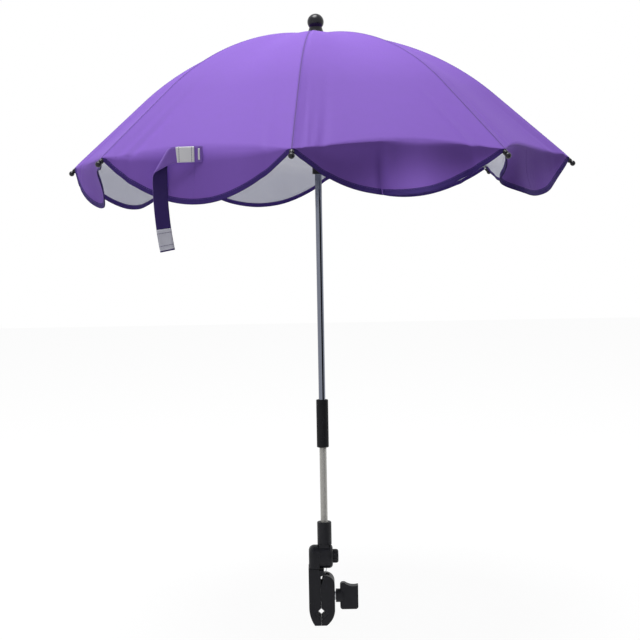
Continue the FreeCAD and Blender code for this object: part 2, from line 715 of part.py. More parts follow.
def make_pole():
    sleeve = new_body("joint_sleeve")
    shaft_bore = "shaft_radius + seat_clearance"
    neck_bore = "neck_radius + fit_clearance"
    plug_top = "sleeve_bottom + neck_plug"
    shaft_seat = "(sleeve_top - shaft_plug)"
    profile = outline(sketch_on(sleeve, "XZ_Plane"), [
        (neck_bore, "sleeve_bottom"),
        ("sleeve_radius - sleeve_edge", "sleeve_bottom", "sleeve_edge", "out"),
        ("sleeve_radius", "sleeve_bottom + sleeve_edge"),
        ("sleeve_radius", "sleeve_top - sleeve_edge", "sleeve_edge", "out"),
        ("sleeve_radius - sleeve_edge", "sleeve_top"),
        (shaft_bore, "sleeve_top"),
        (shaft_bore, shaft_seat),
        ("neck_bore_radius", shaft_seat),
        ("neck_bore_radius", plug_top),
        (neck_bore, plug_top),
    ])
    spin(sleeve, profile)
    place(sleeve, POLE_X)

    shaft = new_body("shaft_tube")
    shaft_top = "(apex_height + finial_socket)"
    section = circle(sketch_on(shaft, "XY_Plane", f"({shaft_seat} + {shaft_top}) / 2"), "0", "0",
                     "shaft_radius")
    circle(section, "0", "0", "shaft_radius - shaft_wall")
    pad(shaft, section, f"{shaft_top} - {shaft_seat}")
    window = sketch_on(shaft, "XZ_Plane", "-shaft_radius")
    catch_top = f"({RUNNER_BOTTOM} - catch_gap)"
    rectangle(window, "-catch_width / 2 - slot_clearance", "catch_width / 2 + slot_clearance",
              f"{catch_top} - catch_height - slot_clearance", f"{catch_top} + slot_clearance")
    cut(shaft, window, "shaft_radius")
    place(shaft, POLE_X)

    catch = new_body("open_catch")
    tooth = sketch_on(catch, "YZ_Plane")
    outline(tooth, [
        ("shaft_radius - catch_depth", f"{catch_top} - catch_height"),
        ("shaft_radius", f"{catch_top} - catch_height"),
        ("shaft_radius + catch_rise", f"{catch_top} - catch_rise"),
        ("shaft_radius + catch_rise", catch_top),
        ("shaft_radius - catch_depth", catch_top),
    ])
    pad(catch, tooth, "catch_width")
    place(catch, POLE_X)


def make_hub(label, radius, low, high, ring_radius, ring_z, tube, slot_half):
    """Turn a notched hub and cut its slots and the channel of its ring wire."""
    body = new_body(label)
    spin(body, outline(sketch_on(body, "XZ_Plane"), tube))
    slot = sketch_on(body, "XY_Plane", f"({low} + {high}) / 2")
    rectangle(slot, "shaft_radius + fit_clearance + hub_wall", f"{radius} + cut_overrun",
              f"-{slot_half}", slot_half)
    notch = cut(body, slot, f"{high} - {low} + cut_overrun")
    repeat_round(body, notch, slot, RIB_COUNT)
    doc.recompute()
    channel = circle(sketch_on(body, "XZ_Plane"), ring_radius, ring_z, "ring_wire + ring_clearance")
    spin_cut(body, channel)
    place(body, POLE_X)
    body.Placement.Rotation = FreeCAD.Rotation(FreeCAD.Vector(0, 0, 1), value("rib_turn - 90"))
    return body


def make_ring(label, radius, height):
    ring = keep(doc.addObject("Part::Torus", label), label)
    bind(ring, "Radius1", radius)
    bind(ring, "Radius2", "ring_wire")
    place(ring, POLE_X, "0", height)


def make_hubs():
    bore = "shaft_radius + fit_clearance"
    crown_low = f"({CROWN_TOP} - crown_height)"
    crown = [(bore, crown_low), ("crown_radius", crown_low), ("crown_radius", CROWN_TOP), (bore, CROWN_TOP)]
    make_hub("crown", "crown_radius", crown_low, CROWN_TOP, "crown_ring_radius", CROWN_PIVOT_Z, crown,
             "(rib_width / 2 + fork_clearance)")
    make_ring("crown_ring", "crown_ring_radius", CROWN_PIVOT_Z)
    flange_low = f"({RUNNER_TOP} - runner_flange)"
    runner = [
        (bore, RUNNER_BOTTOM),
        ("runner_tube_radius", RUNNER_BOTTOM),
        ("runner_tube_radius", flange_low),
        ("runner_radius", flange_low),
        ("runner_radius", RUNNER_TOP),
        (bore, RUNNER_TOP),
    ]
    body = make_hub("runner", "runner_radius", flange_low, RUNNER_TOP, "runner_ring_radius", RUNNER_Z, runner,
                    "(rib_width / 2 + fork_clearance)")
    keyway = sketch_on(body, "XY_Plane", f"({RUNNER_TOP} + {RUNNER_BOTTOM}) / 2")
    half_key = "(catch_width / 2 + slot_clearance)"
    deep = "(shaft_radius + catch_rise + slot_clearance)"
    sine = "sin(90 - rib_turn)"
    cosine = "cos(90 - rib_turn)"
    corners = []
    for side, along in (("-1", "0"), ("1", "0"), ("1", deep), ("-1", deep)):
        across = f"{side} * {half_key}"
        corners.append((f"{across} * {cosine} - {along} * {sine}", f"{across} * {sine} + {along} * {cosine}"))
    outline(keyway, corners)
    cut(body, keyway, "runner_length + cut_overrun")
    make_ring("runner_ring", "runner_ring_radius", RUNNER_Z)


def make_finial():
    body = new_body("finial")
    skirt_low = "(apex_height + cloth_clearance)"
    ball = "(apex_height + finial_ball_lift)"
    bore = "shaft_radius + seat_clearance"
    socket_top = "(apex_height + finial_socket + seat_clearance)"
    drop = "sqrt(finial_ball_radius ^ 2 - finial_waist_radius ^ 2)"
    profile = outline(sketch_on(body, "XZ_Plane"), [
        (bore, skirt_low),
        ("finial_skirt_radius", skirt_low, "2 * finial_skirt_height", "in"),
        ("finial_waist_radius", f"{ball} - {drop}", "finial_ball_radius", "out"),
        ("finial_ball_radius", ball, "finial_ball_radius", "out"),
        ("0", f"{ball} + finial_ball_radius"),
        ("0", socket_top),
        (bore, socket_top),
    ])
    spin(body, profile)
    place(body, POLE_X)


def rib_frame(index):
    """Give the frame of one rib: X points outward, and the origin is the centre of the rib's arc."""
    turn = FreeCAD.Rotation(FreeCAD.Vector(0, 0, 1), value("rib_turn - 90") + 360.0 * index / RIB_COUNT)
    pole = FreeCAD.Vector(value(POLE_X), 0, 0)
    start = turn.multVec(FreeCAD.Vector(value("dome_flat"), 0, value(ARC_CENTER_Z)))
    return FreeCAD.Placement(pole + start, turn)


def slope_point(radius, along):
    """Give a point on the straight run of the rib as two formulas."""
    return (f"{radius} * sin(rib_slope) + ({along}) * cos(rib_slope)",
            f"{radius} * cos(rib_slope) - ({along}) * sin(rib_slope)")


def make_rib(index):
    body = new_body(f"rib_{index + 1}")
    pivot = "(crown_ring_radius - dome_flat)"
    end = "rib_straight - rib_end"
    far_top = slope_point(RIB_TOP, end)
    far_bottom = slope_point(RIB_BOTTOM, end)
    bend_top = slope_point(RIB_TOP, "0")
    bend_bottom = slope_point(RIB_BOTTOM, "0")
    side = outline(sketch_on(body, "XZ_Plane"), [
        (pivot, RIB_TOP, "rib_height / 2", "half"),
        (pivot, RIB_BOTTOM),
        ("0", RIB_BOTTOM, RIB_BOTTOM, "in"),
        bend_bottom,
        far_bottom,
        far_top,
        bend_top + (RIB_TOP, "out"),
        ("0", RIB_TOP),
    ])
    pad(body, side, "rib_width")
    eye = circle(sketch_on(body, "XZ_Plane"), pivot, RIB_MIDDLE, "ring_wire + ring_clearance")
    cut(body, eye, "rib_width + cut_overrun")
    low = f"({RIB_BOTTOM} - cut_overrun)"
    high = f"({RIB_BOTTOM} + channel_depth)"
    stop = "rib_straight - 2 * tip_cap_length"
    channel = outline(sketch_on(body, "XZ_Plane"), [
        ("0", low, low, "in"),
        slope_point(low, "0"),
        slope_point(low, stop),
        slope_point(high, stop),
        slope_point(high, "0") + (high, "out"),
        ("0", high),
    ])
    cut(body, channel, "channel_width")
    body.Placement = rib_frame(index)


def make_rib_tip(index):
    body = new_body(f"rib_tip_{index + 1}")
    waist = "sqrt(tip_ball_radius ^ 2 - tip_neck_radius ^ 2)"
    profile = outline(sketch_on(body, "XZ_Plane"), [
        ("0", "-tip_cap_length - tip_neck_radius"),
        ("tip_cap_radius", "-tip_cap_length - tip_neck_radius"),
        ("tip_cap_radius", f"-{waist} - tip_neck_radius / 2"),
        ("tip_neck_radius", f"-{waist}", "tip_ball_radius", "out"),
        ("tip_ball_radius", "0", "tip_ball_radius", "out"),
        ("0", "tip_ball_radius"),
    ])
    spin(body, profile)
    socket = sketch_on(body, "XY_Plane", "-tip_cap_length - tip_neck_radius")
    rectangle(socket, "-rib_height / 2 - seat_clearance", "rib_height / 2 + seat_clearance",
              "-rib_width / 2 - seat_clearance", "rib_width / 2 + seat_clearance")
    cut(body, socket, "2 * (tip_cap_length + tip_neck_radius - rib_end + seat_clearance)")
    middle = slope_point(RIB_MIDDLE, "rib_straight")
    lean = FreeCAD.Rotation(FreeCAD.Vector(0, 1, 0), value("90 + rib_slope"))
    local = FreeCAD.Placement(FreeCAD.Vector(value(middle[0]), 0, value(middle[1])), lean)
    body.Placement = rib_frame(index).multiply(local)


def make_stretcher(index):
    body = new_body(f"stretcher_{index + 1}")
    half = "stretcher_height / 2"
    root = f"stretcher_length * {FORK_SHARE}"
    web = f"stretcher_length * {WEB_SHARE}"
    tongue = outline(sketch_on(body, "XZ_Plane"), [
        ("0", f"-{half}"),
        (web, f"-{half}"),
        (web, half),
        ("0", half, half, "half"),
    ])
    pad(body, tongue, "rib_width")
    cheeks = outline(sketch_on(body, "XZ_Plane"), [
        (root, f"-{half}"),
        ("stretcher_length", f"-{half}", half, "half"),
        ("stretcher_length", half),
        (root, half),
    ])
    pad(body, cheeks, "stretcher_width")
    rivet = circle(sketch_on(body, "XZ_Plane"), "stretcher_length", "0", "rivet_radius")
    pad(body, rivet, "stretcher_width + 2 * rivet_head")
    slot = rectangle(sketch_on(body, "XZ_Plane"), f"stretcher_length * {FORK_ROOT_SHARE}",
                     "stretcher_length + stretcher_height", "-stretcher_height", "stretcher_height")
    cut(body, slot, "rib_width + 2 * fork_clearance")
    eye = circle(sketch_on(body, "XZ_Plane"), "0", "0", "ring_wire + ring_clearance")
    cut(body, eye, "rib_width + cut_overrun")
    turn = FreeCAD.Rotation(FreeCAD.Vector(0, 0, 1), value("rib_turn - 90") + 360.0 * index / RIB_COUNT)
    rise = math.degrees(math.atan2(value(RUNNER_RISE), value(RUNNER_RUN)))
    lift = FreeCAD.Rotation(FreeCAD.Vector(0, 1, 0), -rise)
    start = turn.multVec(FreeCAD.Vector(value("runner_ring_radius"), 0, value(RUNNER_Z)))
    body.Placement = FreeCAD.Placement(FreeCAD.Vector(value(POLE_X), 0, 0) + start, turn * lift)


def dome_point(reach):
    """Give height and slope of the cloth's outer face over a rib, at a distance from the pole."""
    run = reach - value("dome_flat")
    bend = value("dome_radius * sin(rib_slope)")
    slope = value("rib_slope")
    radius = value("dome_radius")
    if run <= 0:
        return value("apex_height"), 0.0
    if run <= bend:
        return value(ARC_CENTER_Z) + math.sqrt(radius ** 2 - run ** 2), math.degrees(math.asin(run / radius))
    fall = (run - bend) * math.tan(math.radians(slope))
    return value(ARC_CENTER_Z) + radius * math.cos(math.radians(slope)) - fall, slope


def panel_stations():
    """List the panel's cross sections from the crown to the hem, each as seam, quarter and middle points."""
    half_turn = math.radians(180.0 / RIB_COUNT)
    seam = value("seam_half")
    sag = value("panel_sag")
    tip_reach = value(slope_point("dome_radius", "rib_straight - cloth_margin")[0] + " + dome_flat")
    fold_back = value("fold_arch") / math.tan(math.radians(value("rib_slope")))
    gap = value("panel_gap") / 2

    def station(reach, quarter, middle, lift_quarter, lift_middle, tilt, bulge=0.0):
        height, slope = dome_point(reach)
        plain = FreeCAD.Vector(math.sin(math.radians(slope)), 0, math.cos(math.radians(slope)))
        along = FreeCAD.Vector(math.cos(half_turn), math.sin(half_turn), 0)
        across = FreeCAD.Vector(-math.sin(half_turn), math.cos(half_turn), 0)
        dip = sag * min(1.0, reach / value(RIVET_REACH))
        far = along * (middle * math.cos(half_turn) - dip) - across * gap
        far.z = lift_middle
        near = FreeCAD.Vector(reach, min(seam, far.y / 2), height)
        chord = (FreeCAD.Vector(quarter, 0, 0) + along * (quarter * math.cos(half_turn))) / 2
        chord = chord - along * (dip * SAG_QUARTER_SHARE - bulge)
        chord.z = lift_quarter
        upright = FreeCAD.Vector(along.x, along.y, 0) * math.sin(math.radians(tilt))
        upright.z = math.cos(math.radians(tilt))
        return [(near, plain), (chord, upright), (far, upright)]

    rows = []
    bend = value("dome_flat + dome_radius * sin(rib_slope)")
    reaches = [value("cloth_start"), value("dome_flat")]
    for step in range(DOME_STEPS):
        reaches.append(value("dome_flat") + (bend - value("dome_flat")) * (step + 1) / DOME_STEPS)
    for reach in reaches:
        height, slope = dome_point(reach)
        rows.append(station(reach, reach, reach, height, height, slope))
    tip_height = dome_point(tip_reach)[0]
    arch = value("fold_arch")
    middle_reach = tip_reach - fold_back
    quarter_reach = tip_reach - fold_back * SCALLOP_QUARTER_SHARE
    slope = value("rib_slope")
    rows.append(station(tip_reach, quarter_reach, middle_reach,
                        tip_height + arch * SCALLOP_QUARTER_SHARE, tip_height + arch, slope))
    lip = value("flap_lip")
    flap = value("flap_height")
    hem = flap - arch
    flare = value("flap_flare")
    for share in (FLAP_MIDDLE_SHARE, 1.0):
        quarter_fall = (arch + hem) * SCALLOP_QUARTER_SHARE * share
        rows.append(station(tip_reach + lip * share,
                            quarter_reach + flare * share, middle_reach + flare * share,
                            tip_height + arch * SCALLOP_QUARTER_SHARE - quarter_fall,
                            tip_height + arch - flap * share, 90.0,
                            value("flap_fold") * share))
    return rows


def panel_edges(row, thickness):
    """Draw one cross section: its outer face, its inner face and its two cut sides."""
    def face_edges(points):
        left = [FreeCAD.Vector(point.x, -point.y, point.z) for point in points]
        curves = [
            Part.Arc(left[2], left[1], left[0]),
            Part.LineSegment(left[0], points[0]),
            Part.Arc(points[0], points[1], points[2]),
        ]
        return [curve.toShape() for curve in curves]

    outer_points = [point for point, _ in row]
    inner_points = [point - normal * thickness for point, normal in row]
    right = Part.LineSegment(outer_points[2], inner_points[2]).toShape()
    left = right.mirror(FreeCAD.Vector(), FreeCAD.Vector(0, 1, 0))
    return face_edges(outer_points), face_edges(inner_points), [left, right]


def ruled_solid(sections):
    """Close a solid of ruled faces between neighbouring cross sections."""
    faces = []
    for before, after in zip(sections, sections[1:]):
        for here, there in zip(before, after):
            faces += [Part.makeRuledSurface(first, second) for first, second in zip(here, there)]
    for outer, inner, _ in (sections[0], sections[-1]):
        faces += [Part.makeRuledSurface(first, second) for first, second in zip(outer, inner)]
    shell = Part.makeShell(faces)
    shell.sewShape()
    solid = Part.makeSolid(shell)
    if solid.Volume < 0:
        solid.reverse()
    return solid


def make_panel(index, rows):
    item = keep(doc.addObject("Part::Feature", f"canopy_{index + 1}"), f"canopy_{index + 1}")
    item.Shape = ruled_solid([panel_edges(row, value("cloth_thickness")) for row in rows])
    turn = FreeCAD.Rotation(FreeCAD.Vector(0, 0, 1), value("rib_turn - 90") + 360.0 * index / RIB_COUNT)
    item.Placement = FreeCAD.Placement(FreeCAD.Vector(value(POLE_X), 0, 0), turn)


def make_strap(rows):
    """Lay the tie strap across the middle seam of a flap towards its rib, then let it hang."""
    fold = rows[-3][2][0]
    middle = rows[-2][2][0]
    seat = fold + (middle - fold) * (value("strap_drop + strap_width") / (fold.z - middle.z))
    out = math.hypot(seat.x, seat.y) + value("strap_gap")
    top = fold.z - value("strap_drop")
    width = value("strap_width")
    thick = value("strap_thickness")
    reach = value("strap_reach")
    flat = Part.makeBox(reach, thick, width, FreeCAD.Vector(0, 0, top - width))
    hang = Part.makeBox(width, thick, value("strap_hang"),
                        FreeCAD.Vector(reach - width, -thick, top - value("strap_hang")))
    strap = keep(doc.addObject("Part::Feature", "tie_strap"), "tie_strap")
    strap.Shape = flat.fuse(hang).removeSplitter()
    patch = value("patch_length")
    skin = value("patch_thickness")
    tail = value("strap_tail")
    near = Part.makeBox(patch, skin, width, FreeCAD.Vector(tail, thick, top - width))
    far = Part.makeBox(width, skin, patch,
                       FreeCAD.Vector(reach - width, 0, top - value("strap_hang")))
    patches = keep(doc.addObject("Part::Feature", "strap_patches"), "strap_patches")
    patches.Shape = Part.makeCompound([near, far])
    half_step = 180.0 / RIB_COUNT
    bearing = value("rib_turn") + 360.0 * (STRAP_RIB - 1) / RIB_COUNT + half_step
    outward = FreeCAD.Rotation(FreeCAD.Vector(0, 0, 1), bearing + 180.0)
    turn = FreeCAD.Rotation(FreeCAD.Vector(0, 0, 1), value("strap_turn"))
    start = FreeCAD.Vector(value(POLE_X), 0, 0) + outward.multVec(FreeCAD.Vector(-tail, out, 0))
    for item in (strap, patches):
        item.Placement = FreeCAD.Placement(start, outward * turn)


def check_and_write():
    """Stop on any failed object, then write each piece to its own file."""
    doc.recompute()
    for item in doc.Objects:
        if "Invalid" in item.State or "Error" in item.State:
            raise RuntimeError(f"{item.Label} failed: {item.State}")
    for item in nodes:
        if item.Shape.isNull() or not item.Shape.isValid() or not item.Shape.Solids:
            raise RuntimeError(f"{item.Label} has no valid solid")
    os.makedirs("parts", exist_ok=True)
    for item in nodes:
        item.Shape.exportStep(f"parts/{item.Label}.step")
    print(len(nodes), "pieces")


make_clamp_body()
make_clamp_jaw()
make_clamp_pad("clamp_body_pad", "-1")
make_clamp_pad("clamp_jaw_pad", "1")
make_hinge()
make_clamp_screw()
make_knuckle_base()
make_tilt_parts()
make_gooseneck()
make_pole()
make_hubs()
make_finial()
panel_rows = panel_stations()
for rib_index in range(RIB_COUNT):
    make_rib(rib_index)
    make_rib_tip(rib_index)
    make_stretcher(rib_index)
    make_panel(rib_index, panel_rows)
make_strap(panel_rows)
check_and_write()
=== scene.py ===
import json
import math
from fnmatch import fnmatchcase
from functools import cache, partial

import bmesh
import bpy
import numpy as np
from mathutils import Matrix, Vector


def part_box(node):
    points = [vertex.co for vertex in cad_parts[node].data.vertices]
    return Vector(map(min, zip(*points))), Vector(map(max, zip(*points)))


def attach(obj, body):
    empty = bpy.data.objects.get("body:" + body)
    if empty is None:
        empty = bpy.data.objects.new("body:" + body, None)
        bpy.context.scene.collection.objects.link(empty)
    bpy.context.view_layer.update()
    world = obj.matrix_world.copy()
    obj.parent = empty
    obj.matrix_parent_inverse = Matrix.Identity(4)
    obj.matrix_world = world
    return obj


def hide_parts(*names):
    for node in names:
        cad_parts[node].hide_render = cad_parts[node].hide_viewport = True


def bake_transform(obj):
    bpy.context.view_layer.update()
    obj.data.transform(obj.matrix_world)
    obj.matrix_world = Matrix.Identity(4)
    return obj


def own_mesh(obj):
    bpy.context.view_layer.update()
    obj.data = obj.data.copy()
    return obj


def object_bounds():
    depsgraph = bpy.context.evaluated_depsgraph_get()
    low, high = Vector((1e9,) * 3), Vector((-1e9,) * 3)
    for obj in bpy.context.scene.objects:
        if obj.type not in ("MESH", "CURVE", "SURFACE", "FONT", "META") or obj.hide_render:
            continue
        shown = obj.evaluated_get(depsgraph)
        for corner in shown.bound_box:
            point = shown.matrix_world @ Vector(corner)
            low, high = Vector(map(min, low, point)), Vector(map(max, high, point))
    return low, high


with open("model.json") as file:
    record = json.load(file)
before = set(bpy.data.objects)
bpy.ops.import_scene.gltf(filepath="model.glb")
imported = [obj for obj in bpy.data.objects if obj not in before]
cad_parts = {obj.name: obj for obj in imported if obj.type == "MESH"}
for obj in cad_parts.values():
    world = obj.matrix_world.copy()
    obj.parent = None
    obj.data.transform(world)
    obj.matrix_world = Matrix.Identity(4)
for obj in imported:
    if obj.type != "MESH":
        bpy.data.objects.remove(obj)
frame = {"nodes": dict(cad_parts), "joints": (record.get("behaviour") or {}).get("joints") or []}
CAD_BOX = [list(corner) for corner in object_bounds()]

bl_info = {
    "name": "Pram parasol",
    "version": (1, 0, 0),
    "blender": (4, 5, 0),
    "location": "View3D > Sidebar > Parasol",
    "description": "Dresses the parasol's frame with cloth, stitching, hose and finishes",
    "category": "Object",
}

NODES = frame["nodes"]
JOINTS = {joint["name"]: joint for joint in frame["joints"]}
POLE_X = JOINTS["neck_bend"]["pos_m"][0]
FIRST_HINGE = JOINTS["rib_1_fold"]["axis"]
FIRST_RIB = math.atan2(FIRST_HINGE[1], FIRST_HINGE[0]) - math.pi / 2
RIBS = 8
HALF_GORE = math.pi / RIBS


# Settings that a user may change

def linear(code):
    """Turn a six-digit screen colour into linear red, green and blue."""
    parts = [int(code[place:place + 2], 16) / 255 for place in (0, 2, 4)]
    return tuple(part / 12.92 if part <= 0.04045 else ((part + 0.055) / 1.055) ** 2.4 for part in parts)


def length_property(name, description, default):
    """Declare a length in metres."""
    return bpy.props.FloatProperty(name=name, description=description, default=default, min=0.0,
                                   precision=5, subtype="DISTANCE", unit="LENGTH")


def colour_property(name, description, code):
    """Declare a colour by its six-digit code."""
    return bpy.props.FloatVectorProperty(name=name, description=description, default=linear(code), min=0.0,
                                         max=1.0, size=3, subtype="COLOR")


def angle_property(name, description, degrees):
    """Declare an angle, given in degrees."""
    return bpy.props.FloatProperty(name=name, description=description, default=math.radians(degrees),
                                   subtype="ANGLE", unit="ROTATION")


def number_property(name, description, default, unit="NONE"):
    """Declare a plain number, or a power in watts."""
    return bpy.props.FloatProperty(name=name, description=description, default=default, min=0.0, unit=unit)


class ParasolCloth(bpy.types.PropertyGroup):
    """Sizes and colours of the canopy and its trimmings"""
    apex: length_property("Apex height", "Height of the cloth at the crown", 0.8665)
    flat: length_property("Crown flat", "Radius of the flat top of the dome", 0.012)
    dome: length_property("Dome radius", "Radius of the arc over a rib", 0.378)
    slope: angle_property("Slope", "Fall of the straight outer run of a rib", 41.0)
    straight: length_property("Straight run", "Length of cloth on the straight run", 0.1439)
    start: length_property("Crown hole", "Radius where the cloth starts, under the finial", 0.0085)
    thickness: length_property("Thickness", "Thickness of the cloth", 0.0008)
    sag: length_property("Sag", "How far a gore sinks between two ribs", 0.0040)
    arch: length_property("Fold arch", "Rise of the fold line between two tips", 0.007)
    flap: length_property("Flap", "Height of the flap in the middle of a scallop", 0.068)
    corner: length_property("Corner", "Height of the flap beside a rib tip", 0.0022)
    fold: length_property("Fold", "Length of the soft bend on each side of the fold line", 0.016)
    flare: length_property("Flare", "How far the hem stands out", 0.009)
    binding: length_property("Binding", "Width of the tape on the hem", 0.0068)
    seam: length_property("Seam", "Half width of the sewn seam over a rib", 0.0028)
    strap_width: length_property("Strap width", "Width of the tie strap", 0.020)
    strap_length: length_property("Strap length", "Length of the tie strap", 0.174)
    strap_tail: length_property("Strap tail", "How far the strap starts before the seam", 0.010)
    strap_fold: length_property("Strap fold", "Where along the strap its fold lies", 0.050)
    strap_roll: length_property("Strap roll", "Radius of the strap's soft fold", 0.0035)
    strap_lean: angle_property("Strap lean", "How far the strap stands off the flap", 15.0)
    stitch: length_property("Stitch pitch", "Distance from stitch to stitch", 0.0032)
    outer: colour_property("Outer side", "Colour of the cloth", "8860c7")
    inner: colour_property("Coating", "Colour of the coated inner side", "f4f5ff")
    tape: colour_property("Binding", "Colour of the hem tape", "3c2576")
    thread: colour_property("Thread", "Colour of the seam thread", "7f60bd")
    webbing: colour_property("Webbing", "Colour of the tie strap", "2f1a62")
    hooks: colour_property("Hook patch", "Colour of the sewn-on hook patch", "fbfbff")
    loops: colour_property("Loop patch", "Colour of the patch on the strap's end", "e4e4f2")


class ParasolHardware(bpy.types.PropertyGroup):
    """Sizes and colours of the hose, pole and clamp"""
    hose_radius: length_property("Hose radius", "Outer radius of the gooseneck", 0.0055)
    hose_ridge: length_property("Hose ridge", "Depth between two turns", 0.0006)
    hose_pitch: length_property("Hose pitch", "Height of one turn", 0.0020)
    plastic: colour_property("Plastic", "Colour of the moulded parts", "0c0d16")
    rubber: colour_property("Rubber", "Colour of the sleeve", "07080f")
    pad: colour_property("Pad", "Colour of the clamp pads", "5c5d63")
    steel: colour_property("Steel", "Colour of the plated steel", "c4c6ca")
    chrome: colour_property("Chrome", "Colour of the pole", "747884")
    hose: colour_property("Hose", "Colour of the gooseneck's steel", "a5a4a0")


class ParasolStage(bpy.types.PropertyGroup):
    """Camera and light"""
    distance: length_property("Distance", "Camera's distance in front of the frame's origin", 1.926)
    height: length_property("Height", "Camera's height over the frame's origin", 0.5882)
    aside: length_property("Aside", "Camera's place across the front", 0.0056)
    pitch: angle_property("Pitch", "How far the camera looks down", 4.256)
    roll: angle_property("Roll", "Turn of the camera about its own axis", -1.0)
    lens: number_property("Lens", "Focal length in millimetres", 72.48)
    key: number_property("Key", "Power of the key light", 94.0, unit="POWER")
    fill: number_property("Fill", "Power of the fill light", 1.2, unit="POWER")
    ambient: number_property("Ambient", "Strength of the sky on the object", 0.13)


# Node trees

FLOAT, VECTOR, COLOUR = "NodeSocketFloat", "NodeSocketVector", "NodeSocketColor"
GEOMETRY, MATERIAL = "NodeSocketGeometry", "NodeSocketMaterial"
NOISE_MEAN = 0.5
MID_GREY = (0.5, 0.5, 0.5, 1.0)


def wire(tree, kind, inputs=(), **settings):
    """Add a node, set its properties and fill its inputs with values or with other nodes' outputs."""
    node = tree.nodes.new(kind)
    for name, setting in settings.items():
        setattr(node, name, setting)
    for name, source in dict(inputs).items():
        socket = node.inputs[name]
        if isinstance(source, bpy.types.NodeSocket):
            tree.links.new(source, socket)
        else:
            socket.default_value = source
    return node


def maths(tree, operation, *terms):
    """Add a Math node on numbers or other nodes' outputs, and hand out its result."""
    return wire(tree, "ShaderNodeMath", dict(enumerate(terms)), operation=operation).outputs[0]


def new_group(name, kind, inputs, outputs):
    """Start a node group with named sockets."""
    group = bpy.data.node_groups.new(name, kind)
    for label, socket, default in inputs:
        item = group.interface.new_socket(label, in_out="INPUT", socket_type=socket)
        if default is not None:
            item.default_value = default
    for label, socket in outputs:
        group.interface.new_socket(label, in_out="OUTPUT", socket_type=socket)
    return group, group.nodes.new("NodeGroupInput"), group.nodes.new("NodeGroupOutput")


def scale_colour(group, source, sink, factor):
    """End a group in its own colour, made darker or lighter by a factor."""
    scaled = wire(group, "ShaderNodeVectorMath", {0: source.outputs["Color"], "Scale": factor},
                  operation="SCALE")
    group.links.new(scaled.outputs["Vector"], sink.inputs["Color"])


# Shader groups that the finishes share

BROAD_GRAIN = 0.06
SLUB_SCALE = 55.0


@cache
def grain_group():
    """Mottle roughness and height as a moulded or cast surface does."""
    group, source, sink = new_group(
        "Fine grain", "ShaderNodeTree",
        [("Vector", VECTOR, None), ("Scale", FLOAT, 1500.0), ("Roughness", FLOAT, 0.5),
         ("Spread", FLOAT, 0.1)],
        [("Roughness", FLOAT), ("Height", FLOAT)])
    do = partial(maths, group)
    place, scale = source.outputs["Vector"], source.outputs["Scale"]
    fine = wire(group, "ShaderNodeTexNoise", {"Vector": place, "Scale": scale, "Detail": 3.0,
                                              "Roughness": 0.6})
    broad = wire(group, "ShaderNodeTexNoise", {"Vector": place, "Scale": do("MULTIPLY", scale, BROAD_GRAIN),
                                               "Detail": 2.0})
    shift = do("MULTIPLY", do("SUBTRACT", broad.outputs["Fac"], NOISE_MEAN), source.outputs["Spread"])
    group.links.new(do("ADD", source.outputs["Roughness"], shift), sink.inputs["Roughness"])
    group.links.new(fine.outputs["Fac"], sink.inputs["Height"])
    return group


@cache
def weave_group():
    """Cross two sets of threads over the piece's own flat pattern."""
    group, source, sink = new_group(
        "Crossed threads", "ShaderNodeTree",
        [("Vector", VECTOR, None), ("Warp", FLOAT, 0.0007), ("Weft", FLOAT, 0.0007)],
        [("Height", FLOAT), ("Shade", FLOAT)])
    do = partial(maths, group)
    split = wire(group, "ShaderNodeSeparateXYZ", {"Vector": source.outputs["Vector"]})
    waves = []
    for axis, pitch in (("X", "Warp"), ("Y", "Weft")):
        turns = do("DIVIDE", split.outputs[axis], source.outputs[pitch])
        waves.append(do("SINE", do("MULTIPLY", turns, 2 * math.pi)))
    height = do("MULTIPLY_ADD", do("MULTIPLY", *waves), 0.5, 0.5)
    group.links.new(height, sink.inputs["Height"])
    slubs = wire(group, "ShaderNodeTexNoise", {"Vector": source.outputs["Vector"], "Scale": SLUB_SCALE,
                                               "Detail": 5.0, "Roughness": 0.65})
    group.links.new(slubs.outputs["Fac"], sink.inputs["Shade"])
    return group


@cache
def tint_group():
    """Vary a colour a little over the surface by a mask."""
    group, source, sink = new_group(
        "Uneven tint", "ShaderNodeTree",
        [("Color", COLOUR, MID_GREY), ("Mask", FLOAT, 0.5), ("Amount", FLOAT, 0.1)], [("Color", COLOUR)])
    do = partial(maths, group)
    change = do("MULTIPLY", do("SUBTRACT", source.outputs["Mask"], NOISE_MEAN), source.outputs["Amount"])
    scale_colour(group, source, sink, do("ADD", change, 1.0))
    return group


@cache
def seam_shade_group():
    """Paint shade into a colour along the groove of the seam over the rib."""
    group, source, sink = new_group(
        "Painted seam shade", "ShaderNodeTree",
        [("Color", COLOUR, MID_GREY), ("Vector", VECTOR, None), ("Width", FLOAT, 0.001),
         ("Depth", FLOAT, 0.5)],
        [("Color", COLOUR)])
    do = partial(maths, group)
    split = wire(group, "ShaderNodeSeparateXYZ", {"Vector": source.outputs["Vector"]})
    away = do("DIVIDE", do("ABSOLUTE", split.outputs["X"]), source.outputs["Width"])
    near = do("MAXIMUM", do("SUBTRACT", 1.0, away), 0.0)
    scale_colour(group, source, sink, do("SUBTRACT", 1.0, do("MULTIPLY", near, source.outputs["Depth"])))
    return group


# Finishes

RELIEF_DEPTH = 0.0002
GRAIN_TINT = 0.25
# How much the painted shade in the seam's groove darkens the cloth
SEAM_SHADE_STRENGTH = 0.65
WEAVE_ROUGHNESS = 0.12


